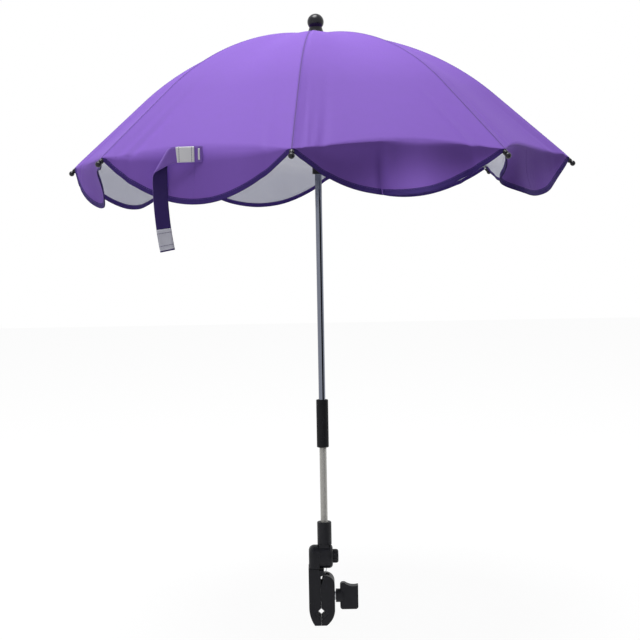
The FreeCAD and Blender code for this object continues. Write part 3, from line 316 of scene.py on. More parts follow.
def start_material(name, colour, **constants):
    """Start a material whose constant values sit on the shader's own sockets."""
    material = bpy.data.materials.new(name)
    material.use_nodes = True
    tree = material.node_tree
    shader = tree.nodes["Principled BSDF"]
    shader.inputs["Base Color"].default_value = (*colour, 1.0)
    for label, number in constants.items():
        shader.inputs[label.replace("_", " ").title().replace("Ior", "IOR")].default_value = number
    material.diffuse_color = (*colour, 1.0)
    return material, tree, shader


def add_relief(tree, shader, height, strength):
    """Bump the surface by a height that changes over it."""
    relief = wire(tree, "ShaderNodeBump", {"Height": height, "Strength": strength, "Distance": RELIEF_DEPTH})
    tree.links.new(relief.outputs["Normal"], shader.inputs["Normal"])


def add_tint(tree, colour, mask, amount):
    """Hand out a colour that a mask varies a little."""
    return wire(tree, "ShaderNodeGroup", {"Color": (*colour, 1.0), "Mask": mask, "Amount": amount},
                node_tree=tint_group()).outputs["Color"]


def hard_finish(name, colour, roughness, spread, grain, bump, **constants):
    """Make a moulded, cast or plated finish with fine grain."""
    material, tree, shader = start_material(name, colour, **constants)
    place = wire(tree, "ShaderNodeTexCoord").outputs["Object"]
    texture = wire(tree, "ShaderNodeGroup", {"Vector": place, "Scale": grain, "Roughness": roughness,
                                             "Spread": spread}, node_tree=grain_group())
    tree.links.new(texture.outputs["Roughness"], shader.inputs["Roughness"])
    add_relief(tree, shader, texture.outputs["Height"], bump)
    shade = add_tint(tree, colour, texture.outputs["Height"], GRAIN_TINT)
    tree.links.new(shade, shader.inputs["Base Color"])
    return material


def woven_finish(name, colour, roughness, warp, weft, bump, variation, seam=0.0, **constants):
    """Make a woven finish that follows the piece's own UV map, in metres, with painted shade along the seam's
    groove if a seam width is set.
    """
    material, tree, shader = start_material(name, colour, **constants)
    flat = wire(tree, "ShaderNodeUVMap", uv_map="Flat").outputs["UV"]
    threads = wire(tree, "ShaderNodeGroup", {"Vector": flat, "Warp": warp, "Weft": weft},
                   node_tree=weave_group())
    add_relief(tree, shader, threads.outputs["Height"], bump)
    shade = add_tint(tree, colour, threads.outputs["Shade"], variation)
    # Painted shade in the seam's groove, along the rib's line in the flat pattern
    if seam:
        shade = wire(tree, "ShaderNodeGroup", {"Color": shade, "Vector": flat, "Width": seam,
                                               "Depth": SEAM_SHADE_STRENGTH}, node_tree=seam_shade_group()).outputs["Color"]
    tree.links.new(shade, shader.inputs["Base Color"])
    rough = maths(tree, "MULTIPLY_ADD", threads.outputs["Shade"], WEAVE_ROUGHNESS,
                  roughness - WEAVE_ROUGHNESS / 2)
    tree.links.new(rough, shader.inputs["Roughness"])
    return material


FINE_WEAVE = {"warp": 0.0008, "weft": 0.0008}
PATCH_WEAVE = {"warp": 0.0012, "weft": 0.0012}
THREAD_GRAIN = {"roughness": 0.7, "spread": 0.1, "grain": 4000.0, "bump": 0.3}

# Each row has the maker, the group of settings and the setting that hold its colour, and its own values
FINISHES = {
    # The canopy cloth's seam value is the half width of the painted shade in the seam's groove
    "Canopy cloth": (woven_finish, "parasol_cloth", "outer", dict(
        FINE_WEAVE, roughness=0.72, bump=0.25, variation=0.10, seam=0.0016, specular_ior_level=0.3)),
    "Coated inside": (woven_finish, "parasol_cloth", "inner", dict(
        FINE_WEAVE, roughness=0.48, bump=0.2, variation=0.12)),
    "Hem tape": (woven_finish, "parasol_cloth", "tape", dict(
        warp=0.0011, weft=0.0005, roughness=0.75, bump=0.5, variation=0.2, specular_ior_level=0.3)),
    "Webbing": (woven_finish, "parasol_cloth", "webbing", dict(
        warp=0.0016, weft=0.0011, roughness=0.7, bump=0.8, variation=0.25, specular_ior_level=0.3)),
    "Hook patch": (woven_finish, "parasol_cloth", "hooks", dict(
        PATCH_WEAVE, roughness=0.9, bump=0.4, variation=0.10, sheen_weight=0.2)),
    "Loop patch": (woven_finish, "parasol_cloth", "loops", dict(
        PATCH_WEAVE, roughness=0.9, bump=0.9, variation=0.25, sheen_weight=0.2)),
    "Strap face": (woven_finish, "parasol_cloth", "outer", dict(
        FINE_WEAVE, roughness=0.72, bump=0.3, variation=0.12, sheen_weight=0.15)),
    "Sewing thread": (hard_finish, "parasol_cloth", "thread", THREAD_GRAIN),
    "Dark thread": (hard_finish, "parasol_cloth", "webbing", THREAD_GRAIN),
    "Moulded black plastic": (hard_finish, "parasol_hardware", "plastic", dict(
        roughness=0.50, spread=0.22, grain=1800.0, bump=0.25, specular_ior_level=0.30)),
    "Glossy black plastic": (hard_finish, "parasol_hardware", "plastic", dict(
        roughness=0.26, spread=0.12, grain=900.0, bump=0.05, specular_ior_level=0.35)),
    "Black rubber": (hard_finish, "parasol_hardware", "rubber", dict(
        roughness=0.62, spread=0.2, grain=1300.0, bump=0.35, specular_ior_level=0.25)),
    "Pad rubber": (hard_finish, "parasol_hardware", "pad", dict(
        roughness=0.8, spread=0.15, grain=1600.0, bump=0.4)),
    "Plated steel": (hard_finish, "parasol_hardware", "steel", dict(
        roughness=0.30, spread=0.2, grain=1200.0, bump=0.1, metallic=1.0)),
    "Hose steel": (hard_finish, "parasol_hardware", "hose", dict(
        roughness=0.34, spread=0.2, grain=1600.0, bump=0.12, metallic=1.0)),
    "Blackened steel": (hard_finish, "parasol_hardware", "plastic", dict(
        roughness=0.4, spread=0.2, grain=1200.0, bump=0.1, metallic=0.5)),
    "Chrome": (hard_finish, "parasol_hardware", "chrome", dict(
        roughness=0.09, spread=0.08, grain=500.0, bump=0.02, metallic=1.0)),
}


@cache
def finish_named(name):
    """Build each finish once and hand it out by name."""
    maker, settings, colour, numbers = FINISHES[name]
    return maker(name, getattr(getattr(bpy.context.scene, settings), colour), **numbers)


# Canopy surface

# Pulls at the rib tips and broad unevenness: ranges for the random draws
WRINKLE_SEED = 40
PULLS = 3
PULL_PLACES = (0.10, 0.34)
PULL_HEIGHTS = (0.0006, 0.0014)
PULL_WIDTHS = (0.035, 0.06)
PULL_LEANS = (0.5, 1.0)
PULL_RUNS = (0.12, 0.28)
PULL_FAN = 2.2
PULL_MARGIN = 0.12
WAVES = 3
WAVE_COUNTS = (0.6, 1.6)
WAVE_PHASES = (0.0, 6.28)
WAVE_HEIGHT = 0.0007
WAVE_RUN = 3.0
CROWN_FADE = 3.0
SIGNS = [-1.0, 1.0]

# Bends of a flap by gore: place across, width and how far outwards
FLAP_BENDS = {
    0: [(0.48, 0.34, -0.0130), (1.22, 0.26, 0.0150), (1.72, 0.20, -0.0080), (0.86, 0.045, -0.0065)],
    1: [(0.42, 0.24, -0.0340), (1.40, 0.20, 0.0040)],
    6: [(1.00, 0.60, -0.0200), (1.55, 0.16, 0.0060)],
    7: [(1.45, 0.20, 0.0035), (0.60, 0.18, -0.0025)],
}
# Ranges for the random bends of the other flaps
FLAP_SEED = 90
FREE_BENDS = 3
FREE_PLACES = (0.45, 1.55)
FREE_WIDTHS = (0.10, 0.22)
FREE_SIZES = (0.0025, 0.0055)
FLAP_SWAY = 0.003
BEND_GROWTH = 0.8

# Share of its height by which a flap is gathered up, by gore
FLAP_GATHERS = {2: 0.28, 3: 0.15, 4: 0.06, 5: 0.03}
# A flap that is caught up on one side: place across, width and share of its height
FLAP_LIFTS = {6: (1.60, 0.32, 0.60)}
# How far a flap is drawn in half way down
FLAP_TUCKS = {0: 0.006, 1: 0.005}
# Share of the soft bend's length at the fold line, where the fold is sharper
FOLD_SHARES = {0: 0.5, 1: 0.5}
# Rise of the fold line where it isn't the common one
FOLD_ARCHES = {0: 0.0130, 1: 0.0140, 2: 0.0130, 3: 0.0130}

# Distance from the pole where the sag starts, and over which it grows
SAG_START = 0.06
SAG_RUN = 0.125
# How the soft bend rounds off the fold line, inwards and down
FOLD_CUT_IN = 0.61
FOLD_CUT_DOWN = 0.31
LEAST_CURL = 1e-5
# Step for the normals, the furthest place past the fold line, and where they are evened out beside a rib
NORMAL_STEP = 1e-3
HEM_OVERRUN = 1.2
RIB_BLEND = 0.01
TINY = 1e-12


def hump(place, centre, wide):
    """A smooth rise to 1 at the centre."""
    return np.exp(-((place - centre) / wide) ** 2)


def ramp(place, start, run):
    """A straight rise from 0 to 1 over a run."""
    return np.clip((place - start) / run, 0.0, 1.0)


def unit(vectors):
    """Vectors made one long."""
    return vectors / np.maximum(np.linalg.norm(vectors, axis=-1, keepdims=True), TINY)


def bearing_at(steps):
    """Bearing from the pole, counted in half gores from the first rib."""
    return FIRST_RIB + steps * HALF_GORE


def bend_reach():
    """Distance from the pole to the end of the dome's arc over a rib."""
    cloth = bpy.context.scene.parasol_cloth
    return cloth.flat + cloth.dome * math.sin(cloth.slope)


def tip_reach():
    """Distance from the pole to the cloth's corner at a rib tip."""
    cloth = bpy.context.scene.parasol_cloth
    return bend_reach() + cloth.straight * math.cos(cloth.slope)


def dome_height(reach):
    """Height of the cloth over a rib, at a distance from the pole."""
    cloth = bpy.context.scene.parasol_cloth
    run = np.asarray(reach) - cloth.flat
    bend = cloth.dome * math.sin(cloth.slope)
    centre = cloth.apex - cloth.dome
    on_arc = centre + np.sqrt(np.maximum(cloth.dome ** 2 - np.clip(run, 0.0, bend) ** 2, 0.0))
    return on_arc - np.maximum(run - bend, 0.0) * math.tan(cloth.slope)


def half_width(along):
    """Half width of a gore's chord, from the crown to the fold line."""
    cloth = bpy.context.scene.parasol_cloth
    reach = cloth.start + np.clip(along, 0.0, 1.0) * (tip_reach() - cloth.start)
    return reach * math.sin(HALF_GORE)


def belly(across):
    """Share of the scallop, from 0 on a rib to 1 in the middle of a gore."""
    return np.clip(1.0 - (1.0 - across) ** 2, 0.0, 1.0)


def scallop(across):
    """Height of a flap that isn't gathered."""
    cloth = bpy.context.scene.parasol_cloth
    return cloth.corner + (cloth.flap - cloth.corner) * belly(across)


def gore_wrinkles(gore, across, outward):
    """Height of the small pulls that run up from the rib tips, and of broad unevenness, over one gore."""
    rng = np.random.default_rng(WRINKLE_SEED + gore)
    height = np.zeros_like(across)
    for side in (0.0, 2.0):
        distance = np.abs(across - side)
        for _ in range(PULLS):
            place = rng.uniform(*PULL_PLACES)
            size = rng.uniform(*PULL_HEIGHTS)
            narrow = rng.uniform(*PULL_WIDTHS)
            lean = rng.uniform(*PULL_LEANS)
            path = place * (1.0 + lean * (1.0 - outward) * PULL_FAN)
            reach = hump(1.0 - outward, 0.0, rng.uniform(*PULL_RUNS))
            height += size * reach * hump(distance, path, narrow) * rng.choice(SIGNS)
    for _ in range(WAVES):
        count = rng.uniform(*WAVE_COUNTS)
        phase = rng.uniform(*WAVE_PHASES)
        wave = np.sin(count * math.pi * across + phase)
        height += WAVE_HEIGHT * wave * np.sin(WAVE_RUN * outward + phase)
    near_rib = ramp(np.minimum(across, 2.0 - across), 0.0, PULL_MARGIN)
    return height * near_rib * np.clip(outward * CROWN_FADE, 0.0, 1.0)


def flap_folds(gore, across, down):
    """How far the hanging flap waves in and out, over one gore."""
    rng = np.random.default_rng(FLAP_SEED + gore)
    wave = np.zeros_like(across)
    for centre, wide, size in FLAP_BENDS.get(gore, []):
        wave += size * hump(across, centre, wide)
    for _ in range(0 if gore in FLAP_BENDS else FREE_BENDS):
        centre = rng.uniform(*FREE_PLACES)
        wide = rng.uniform(*FREE_WIDTHS)
        size = rng.uniform(*FREE_SIZES) * rng.choice(SIGNS)
        wave += size * hump(across, centre, wide)
    wave += rng.uniform(-FLAP_SWAY, FLAP_SWAY) * np.sin(math.pi * across)
    return wave * down ** BEND_GROWTH * belly(across)


def flap_length(gore, across):
    """Share of the flap's length that hangs, where it is gathered up or caught on one side."""
    share = 1.0 - FLAP_GATHERS.get(gore, 0.0)
    if gore in FLAP_LIFTS:
        centre, wide, size = FLAP_LIFTS[gore]
        share = share - size * hump(across, centre, wide)
    return share


def gore_point(gore, across, along):
    """Points of one gore: across is 0 at its first rib and 2 at the next, along is 0 at the crown,
    1 on the fold line and 2 at the hem."""
    cloth = bpy.context.scene.parasol_cloth
    across = np.asarray(across, float)
    along = np.asarray(along, float)
    share = np.clip(along, 0.0, 1.0)
    down = np.clip(along - 1.0, 0.0, HEM_OVERRUN)
    full = belly(across)
    tip, bend = tip_reach(), bend_reach()
    fold_reach = tip - full * FOLD_ARCHES.get(gore, cloth.arch) / math.tan(cloth.slope)
    arc_share = (bend - cloth.start) / (tip - cloth.start)
    on_arc = cloth.start + (bend - cloth.start) * ramp(share, 0.0, arc_share)
    reach = on_arc + (fold_reach - bend) * ramp(share, arc_share, 1.0 - arc_share)
    lean = np.arcsin(np.clip((reach - cloth.flat) / cloth.dome, 0.0, math.sin(cloth.slope)))
    sink = cloth.sag * np.sin(math.pi * across / 2) * ramp(reach, SAG_START, SAG_RUN)
    sink = sink - gore_wrinkles(gore, across, share)
    drop = down * scallop(across) * flap_length(gore, across)
    curl = np.maximum(cloth.fold * full * FOLD_SHARES.get(gore, 1.0), LEAST_CURL)
    before = np.clip(1.0 - (fold_reach - reach) / math.cos(cloth.slope) / curl, 0.0, 1.0)
    after = np.clip(1.0 - drop / curl, 0.0, 1.0)
    round_off = curl * (np.where(down > 0.0, after, before) / 2) ** 2
    hung = np.minimum(down, 1.0)
    outward = reach * math.cos(HALF_GORE) - sink * np.sin(lean) - FOLD_CUT_IN * round_off
    outward = outward + cloth.flare * hung * full + flap_folds(gore, across, down)
    outward = outward - FLAP_TUCKS.get(gore, 0.0) * np.sin(math.pi * hung) * full
    sideways = (across - 1.0) * reach * math.sin(HALF_GORE)
    height = dome_height(reach) - sink * np.cos(lean) - drop - FOLD_CUT_DOWN * round_off
    bearing = bearing_at(2 * gore + 1)
    x = POLE_X + outward * math.cos(bearing) - sideways * math.sin(bearing)
    y = outward * math.sin(bearing) + sideways * math.cos(bearing)
    return np.stack([x, y, height], axis=-1)


def gore_normal(gore, across, along):
    """Outward normals of one gore, worked out from neighbouring points."""
    right = gore_point(gore, np.clip(across + NORMAL_STEP, 0.0, 2.0), along)
    left = gore_point(gore, np.clip(across - NORMAL_STEP, 0.0, 2.0), along)
    below = gore_point(gore, across, along + NORMAL_STEP)
    above = gore_point(gore, across, np.maximum(along - NORMAL_STEP, 0.0))
    return unit(np.cross(below - above, right - left))


def rib_side(rib, side, across, along, lift):
    """Points, lifted off the cloth, and normals beside a rib: across is 0 on the rib and 1 in the middle
    of the gore on that side."""
    gore = rib if side > 0 else (rib - 1) % RIBS
    place = across if side > 0 else 2.0 - across
    normal = gore_normal(gore, place, along)
    tangent = np.array(rib_tangent(rib))
    near = (1.0 - ramp(across, 0.0, RIB_BLEND))[..., None]
    normal = unit(normal - near * np.sum(normal * tangent, axis=-1, keepdims=True) * tangent)
    return gore_point(gore, place, along) + normal * np.asarray(lift)[..., None], normal


def rib_tangent(rib):
    """Level direction across a rib."""
    bearing = bearing_at(2 * rib)
    return -math.sin(bearing), math.cos(bearing), 0.0


# Meshes of cloth

# Share of its width given for the dome cloth and for a flap
DOME_SHARE = 0.50
FLAP_SHARE = 0.18

# Rows of the mesh: first place, last place and count
DOME_ROWS = (0.0, 0.93, 62)
FOLD_ROWS = (0.938, 1.0, 12)
FLAP_ROWS = (0.0, 1.0, 25)
FLAP_CROWDING = 1.25
GORE_COLUMNS = (0.0, 1.0, 31)
SEAM_COLUMNS = np.array([0.0, 0.35, 0.72, 0.9, 1.0, 1.25])
SEAM_LIMIT = 0.5

# The sewn seam over a rib: its height, its edge and groove in half widths, and where it fades out
SEAM_HEIGHT = 0.00045
SEAM_EDGE = 0.12
SEAM_GROOVE = 0.8
SEAM_END = 1.02
SEAM_FADE = 0.05


def grid_mesh(name, layers, flat, finishes):
    """Close a shell from an outer and an inner grid of points, with given normals and a flat UV map.
    The first finish is the outside's and the last one the inside's."""
    (outer, outer_normals), (inner, inner_normals) = layers
    rows, columns = outer.shape[:2]
    points = np.concatenate([outer.reshape(-1, 3), inner.reshape(-1, 3)])
    normals = np.concatenate([outer_normals.reshape(-1, 3), inner_normals.reshape(-1, 3)])
    flat_points = np.concatenate([flat.reshape(-1, 2)] * 2)
    base = rows * columns
    index = np.arange(base).reshape(rows, columns)
    corners = [index[:-1, :-1], index[1:, :-1], index[1:, 1:], index[:-1, 1:]]
    quads = np.stack(corners, axis=-1).reshape(-1, 4)
    faces = quads.tolist() + (quads[:, ::-1] + base).tolist()
    edge = np.concatenate([index[:, 0], index[-1, 1:], index[-2::-1, -1], index[0, -2:0:-1]]).tolist()
    walls = [(there, here, here + base, there + base) for here, there in zip(edge, edge[1:] + edge[:1])]
    mesh = bpy.data.meshes.new(name)
    mesh.from_pydata(points.tolist(), [], faces + walls)
    for finish in finishes:
        mesh.materials.append(finish_named(finish))
    slots = [0] * len(quads) + [len(finishes) - 1] * len(quads) + [0] * len(walls)
    mesh.polygons.foreach_set("material_index", slots)
    mesh.polygons.foreach_set("use_smooth", [True] * len(slots))
    vertices = np.empty(len(mesh.loops), np.int32)
    mesh.loops.foreach_get("vertex_index", vertices)
    layer = mesh.uv_layers.new(name="Flat")
    layer.data.foreach_set("uv", flat_points[vertices].astype(np.float32).ravel())
    mesh.update()
    corner_normals = normals[vertices]
    for polygon in mesh.polygons[len(faces):]:
        for loop in polygon.loop_indices:
            corner_normals[loop] = polygon.normal
    mesh.normals_split_custom_set([tuple(normal) for normal in corner_normals])
    return mesh


def add_piece(name, mesh):
    """Link a finished mesh, a camera or a lamp as an object at the origin."""
    piece = bpy.data.objects.new(name, mesh)
    bpy.context.scene.collection.objects.link(piece)
    return piece


def sew_on(piece, rib):
    """Let a soft piece ride on its rib."""
    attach(piece, f"rib_arm_{rib + 1}")
    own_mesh(piece)


def flat_pattern(points):
    """Lay the cloth out in metres: lengths down the rib and across it."""
    middle = points.shape[1] // 2
    rises = np.linalg.norm(np.diff(points, axis=0), axis=-1)
    down = np.concatenate([np.zeros((1, points.shape[1])), np.cumsum(rises, axis=0)])
    steps = np.linalg.norm(np.diff(points, axis=1), axis=-1)
    wide = np.concatenate([np.zeros((points.shape[0], 1)), np.cumsum(steps, axis=1)], axis=1)
    wide = wide - wide[:, middle:middle + 1]
    return np.stack([wide, np.maximum(down, down[:, middle:middle + 1])], axis=-1)


def cloth_columns(rows_along):
    """Places across a rib's cloth, close together at the seam, for every row."""
    seam = SEAM_COLUMNS * bpy.context.scene.parasol_cloth.seam
    even = np.linspace(*GORE_COLUMNS)[1:]
    half = half_width(rows_along)
    limit = SEAM_LIMIT * np.linspace(0.0, 1.0, len(seam))
    close = np.minimum(seam[None, :] / half[:, None], limit[None, :])
    rest = close[:, -1:] + (1.0 - close[:, -1:]) * even[None, :]
    return np.concatenate([close, rest], axis=1)


def cloth_rows():
    """Places down the cloth, close together at the fold line."""
    flap = 1.0 + np.linspace(*FLAP_ROWS)[1:] ** FLAP_CROWDING
    return np.concatenate([np.linspace(*DOME_ROWS), np.linspace(*FOLD_ROWS), flap])


def seam_lift(across, along):
    """Raise the sewn seam a little over the rib."""
    offset = across * half_width(along) / bpy.context.scene.parasol_cloth.seam
    ridge = ramp(1.0 - offset, 0.0, SEAM_EDGE) - SEAM_GROOVE * hump(offset, 0.0, SEAM_EDGE)
    return SEAM_HEIGHT * ridge * ramp(SEAM_END - along, 0.0, SEAM_FADE)


class PARASOL_OT_canopy(bpy.types.Operator):
    """Make the dome cloth and the flap of every rib, with their coated inside"""
    bl_idname = "parasol.canopy"
    bl_label = "Canopy cloth"

    def execute(self, context):
        rows = cloth_rows()
        columns = cloth_columns(rows)
        along = np.repeat(rows[:, None], columns.shape[1], axis=1)
        fold = int(np.argmin(np.abs(rows - 1.0)))
        lift = seam_lift(columns, along)
        depth = np.full_like(lift, -context.scene.parasol_cloth.thickness)
        for rib in range(RIBS):
            outer, inner = [], []
            for side in (-1, 1):
                points, normals = rib_side(rib, side, columns, along, lift)
                under, _ = rib_side(rib, side, columns, along, depth)
                outer.append((points, normals))
                inner.append((under, -normals))
            layers = [self.join(*halves) for halves in (outer, inner)]
            flat = flat_pattern(layers[0][0])
            dome = self.sew(f"canopy_cloth_{rib + 1}", layers, flat, slice(0, fold + 1))
            flap = self.sew(f"canopy_flap_{rib + 1}", layers, flat, slice(fold, None))
            for piece, share in ((dome, DOME_SHARE), (flap, FLAP_SHARE)):
                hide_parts(f"canopy_{rib + 1}")
                sew_on(piece, rib)
        return {"FINISHED"}

    @staticmethod
    def join(left, right):
        """Set the points and normals of the two halves together, with the right half's column on the rib."""
        return [np.concatenate([first[:, :0:-1], second], axis=1) for first, second in zip(left, right)]

    @staticmethod
    def sew(name, layers, flat, rows):
        """Make one piece of the cloth from a run of its rows."""
        part = [(points[rows], normals[rows]) for points, normals in layers]
        return add_piece(name, grid_mesh(name, part, flat[rows], ["Canopy cloth", "Coated inside"]))


# Hem binding

TAPE_THICKNESS = 0.0004
TAPE_LIMIT = 0.9
TAPE_ROWS = 6
TAPE_COLUMNS = 41
HEM_ROLL = 0.0005


def tape_share(across):
    """Share of the flap's height that the tape covers."""
    return np.minimum(bpy.context.scene.parasol_cloth.binding / scallop(across), TAPE_LIMIT)


class PARASOL_OT_binding(bpy.types.Operator):
    """Fold a tape over every scalloped hem"""
    bl_idname = "parasol.binding"
    bl_label = "Hem binding"

    def execute(self, context):
        thickness = context.scene.parasol_cloth.thickness
        for rib in range(RIBS):
            name = f"hem_binding_{rib + 1}"
            halves = zip(*(self.half(rib, side, thickness) for side in (-1, 1)))
            outer, normals = (np.concatenate([left[:, ::-1], right[:, 1:]], axis=1) for left, right in halves)
            inner = outer - normals * TAPE_THICKNESS
            layers = ((outer, normals), (inner, -normals))
            piece = add_piece(name, grid_mesh(name, layers, flat_pattern(outer), ["Hem tape"]))
            sew_on(piece, rib)
        return {"FINISHED"}

    @staticmethod
    def half(rib, side, thickness):
        """Points and normals of the tape on one side of a rib, from its outer edge round the hem to the
        inside."""
        across = np.linspace(0.0, 1.0, TAPE_COLUMNS)
        band = tape_share(across)
        outside = (1.0, TAPE_THICKNESS, np.linspace(0.0, 1.0, TAPE_ROWS))
        inside = (-1.0, -TAPE_THICKNESS - thickness, np.linspace(1.0, 0.0, TAPE_ROWS))
        lines, normals = [], []
        for facing, lift, shares in (outside, inside):
            for share in shares:
                along = 2.0 - band * (1.0 - share)
                points, normal = rib_side(rib, side, across, along, np.full_like(across, lift))
                if share == 1.0:
                    points = points - np.array([0.0, 0.0, HEM_ROLL])
                lines.append(points)
                normals.append(normal * facing)
        return np.stack(lines), np.stack(normals)


# Stitching

# Rows of stitches: first place, last place and points
SEAM_RUN = (0.05, 0.985, 90)
HEM_RUN = (0.06, 1.0, 60)
MIDDLE_RUN = (1.03, 1.88, 30)
# Where they lie: in the seam's half width, in the tape's width and across half a gore
SEAM_STITCH = 0.68
HEM_STITCH = 0.82
MIDDLE_STITCH = 0.985
STITCH_LIFT = 0.0001
HEM_STITCH_LIFT = 0.0005
STITCH_LENGTH = 0.0023
STITCH_THICKNESS = 0.0005


def end_tree(tree, sink, geometry, material):
    """End a geometry tree in Realize Instances and Set Material."""
    real = wire(tree, "GeometryNodeRealizeInstances", {"Geometry": geometry})
    painted = wire(tree, "GeometryNodeSetMaterial", {"Geometry": real.outputs["Geometry"],
                                                     "Material": material})
    tree.links.new(painted.outputs["Geometry"], sink.inputs["Geometry"])


@cache
def stitch_tree():
    """Geometry nodes: small thread capsules along every path."""
    tree, source, sink = new_group(
        "Stitch rows", "GeometryNodeTree",
        [("Geometry", GEOMETRY, None), ("Pitch", FLOAT, 0.0032), ("Length", FLOAT, 0.0022),
         ("Thickness", FLOAT, 0.0005), ("Thread", MATERIAL, None)],
        [("Geometry", GEOMETRY)])
    given = source.outputs
    paths = wire(tree, "GeometryNodeMeshToCurve", {"Mesh": given["Geometry"]})
    spaced = wire(tree, "GeometryNodeResampleCurve", {"Curve": paths.outputs["Curve"],
                                                      "Length": given["Pitch"]}, mode="LENGTH")
    tangent = wire(tree, "GeometryNodeInputTangent")
    turned = wire(tree, "FunctionNodeAlignRotationToVector", {"Vector": tangent.outputs["Tangent"]}, axis="X")
    ball = wire(tree, "GeometryNodeMeshIcoSphere", {"Radius": 0.5, "Subdivisions": 1})
    smooth = wire(tree, "GeometryNodeSetShadeSmooth", {"Geometry": ball.outputs["Mesh"]})
    size = wire(tree, "ShaderNodeCombineXYZ", {"X": given["Length"], "Y": given["Thickness"],
                                               "Z": given["Thickness"]})
    rows = wire(tree, "GeometryNodeInstanceOnPoints", {
        "Points": spaced.outputs["Curve"], "Instance": smooth.outputs["Geometry"],
        "Rotation": turned.outputs["Rotation"], "Scale": size.outputs["Vector"]})
    end_tree(tree, sink, rows.outputs["Instances"], given["Thread"])
    return tree


def grown(name, seed_mesh, tree, **inputs):
    """Run a geometry tree on a mesh and keep the result as a plain piece."""
    seed = add_piece(name, seed_mesh)
    modifier = seed.modifiers.new("Grow", "NODES")
    modifier.node_group = tree
    for item in tree.interface.items_tree:
        if item.in_out == "INPUT" and item.name in inputs:
            modifier[item.identifier] = inputs[item.name]
    bpy.context.view_layer.update()
    evaluated = seed.evaluated_get(bpy.context.evaluated_depsgraph_get())
    mesh = bpy.data.meshes.new_from_object(evaluated)
    mesh.name = name
    seed.modifiers.remove(modifier)
    bpy.data.objects.remove(seed)
    if not mesh.polygons:
        raise RuntimeError(f"{name} came out empty")
    return add_piece(name, mesh)


def path_mesh(name, paths):
    """Gather open paths of points in one mesh of edges."""
    points, edges = [], []
    for path in paths:
        first = len(points)
        points += [tuple(point) for point in path]
        edges += [(first + step, first + step + 1) for step in range(len(path) - 1)]
    mesh = bpy.data.meshes.new(name)
    mesh.from_pydata(points, edges, [])
    return mesh


class PARASOL_OT_stitching(bpy.types.Operator):
    """Sew the rib seams, the middle seams of the flaps and the hem tape"""
    bl_idname = "parasol.stitching"
    bl_label = "Stitching"

    def execute(self, context):
        cloth = context.scene.parasol_cloth
        rows = np.linspace(*SEAM_RUN)
        across = SEAM_STITCH * cloth.seam / half_width(rows)
        along_hem = np.linspace(*HEM_RUN)
        hem = 2.0 - HEM_STITCH * tape_share(along_hem)
        down = np.linspace(*MIDDLE_RUN)
        middle = np.full_like(down, MIDDLE_STITCH)
        for rib in range(RIBS):
            paths = []
            for side in (-1, 1):
                paths.append(rib_side(rib, side, across, rows, seam_lift(across, rows) + STITCH_LIFT)[0])
                for lift in (HEM_STITCH_LIFT, -HEM_STITCH_LIFT - cloth.thickness):
                    paths.append(rib_side(rib, side, along_hem, hem, np.full_like(hem, lift))[0])
            paths.append(rib_side(rib, 1, middle, down, np.full_like(down, STITCH_LIFT))[0])
            piece = grown(f"canopy_stitching_{rib + 1}", path_mesh("stitch_paths", paths), stitch_tree(),
                          Pitch=cloth.stitch, Length=STITCH_LENGTH, Thickness=STITCH_THICKNESS,
                          Thread=finish_named("Sewing thread"))
            sew_on(piece, rib)
        return {"FINISHED"}


# Tie strap

STRAP_GORE = 7
STRAP_RIB = 7
STRAP_SEAT = 1.25
STRAP_RISE = 0.003
STRAP_GAP = 0.0022
# Turns of the strap in its own plane: degrees, where along it they start and over what length
STRAP_DROOPS = ((-25.0, 0.030, 0.022), (12.0, 0.075, 0.095))
STRAP_SAMPLES = 400
# Direction of the strap past its fold, and of the fold's crease
STRAP_PAST = (0.835, 0.55)
STRAP_CREASE = (STRAP_PAST[1], -STRAP_PAST[0])
STRAP_THICKNESS = 0.0012
STRAP_ROWS = 150
EDGE_SHARE = 0.4
FACE_POINTS = 11

PATCH_THICKNESS = 0.0011
PATCH_INSET = 0.0004
PATCH_ROWS = 24
# Patches and their seams: the near ones from the strap's start, the far ones back from its end
NEAR_PATCH = (0.0105, 0.0340)
FAR_PATCH = (0.0285, 0.0018)
NEAR_SEAMS = (0.0138, 0.0305)
FAR_SEAMS = (0.0235, 0.0075)
# A row of stitches in strap widths and the tack in metres: first place, last place and points
PATCH_SEAM = (-0.43, 0.43, 20)
TACK_RUN = (0.0032, 0.0056, 5)
# The tack as shares of the strap's width and of a patch's thickness
TACK_WIDTH = 0.72
TACK_THICKNESS = 0.7
PATCH_STITCHES = {"Pitch": 0.0021, "Length": 0.0019, "Thickness": 0.0008}


def strap_flat(along, across):
    """Lay the unfolded strap out in its own plane: left along the flap, then drooping to the left."""
    fine = np.linspace(0.0, bpy.context.scene.parasol_cloth.strap_length, STRAP_SAMPLES)
    droop = sum(np.radians(angle) * ramp(fine, start, run) for angle, start, run in STRAP_DROOPS)
    step = fine[1] - fine[0]
    left = np.concatenate([[0.0], np.cumsum(np.cos(droop[:-1])) * step])
    up = np.concatenate([[0.0], np.cumsum(np.sin(droop[:-1])) * step])
    lean = np.interp(along, fine, droop)
    return (np.interp(along, fine, left) - across * np.sin(lean),
            np.interp(along, fine, up) + across * np.cos(lean))


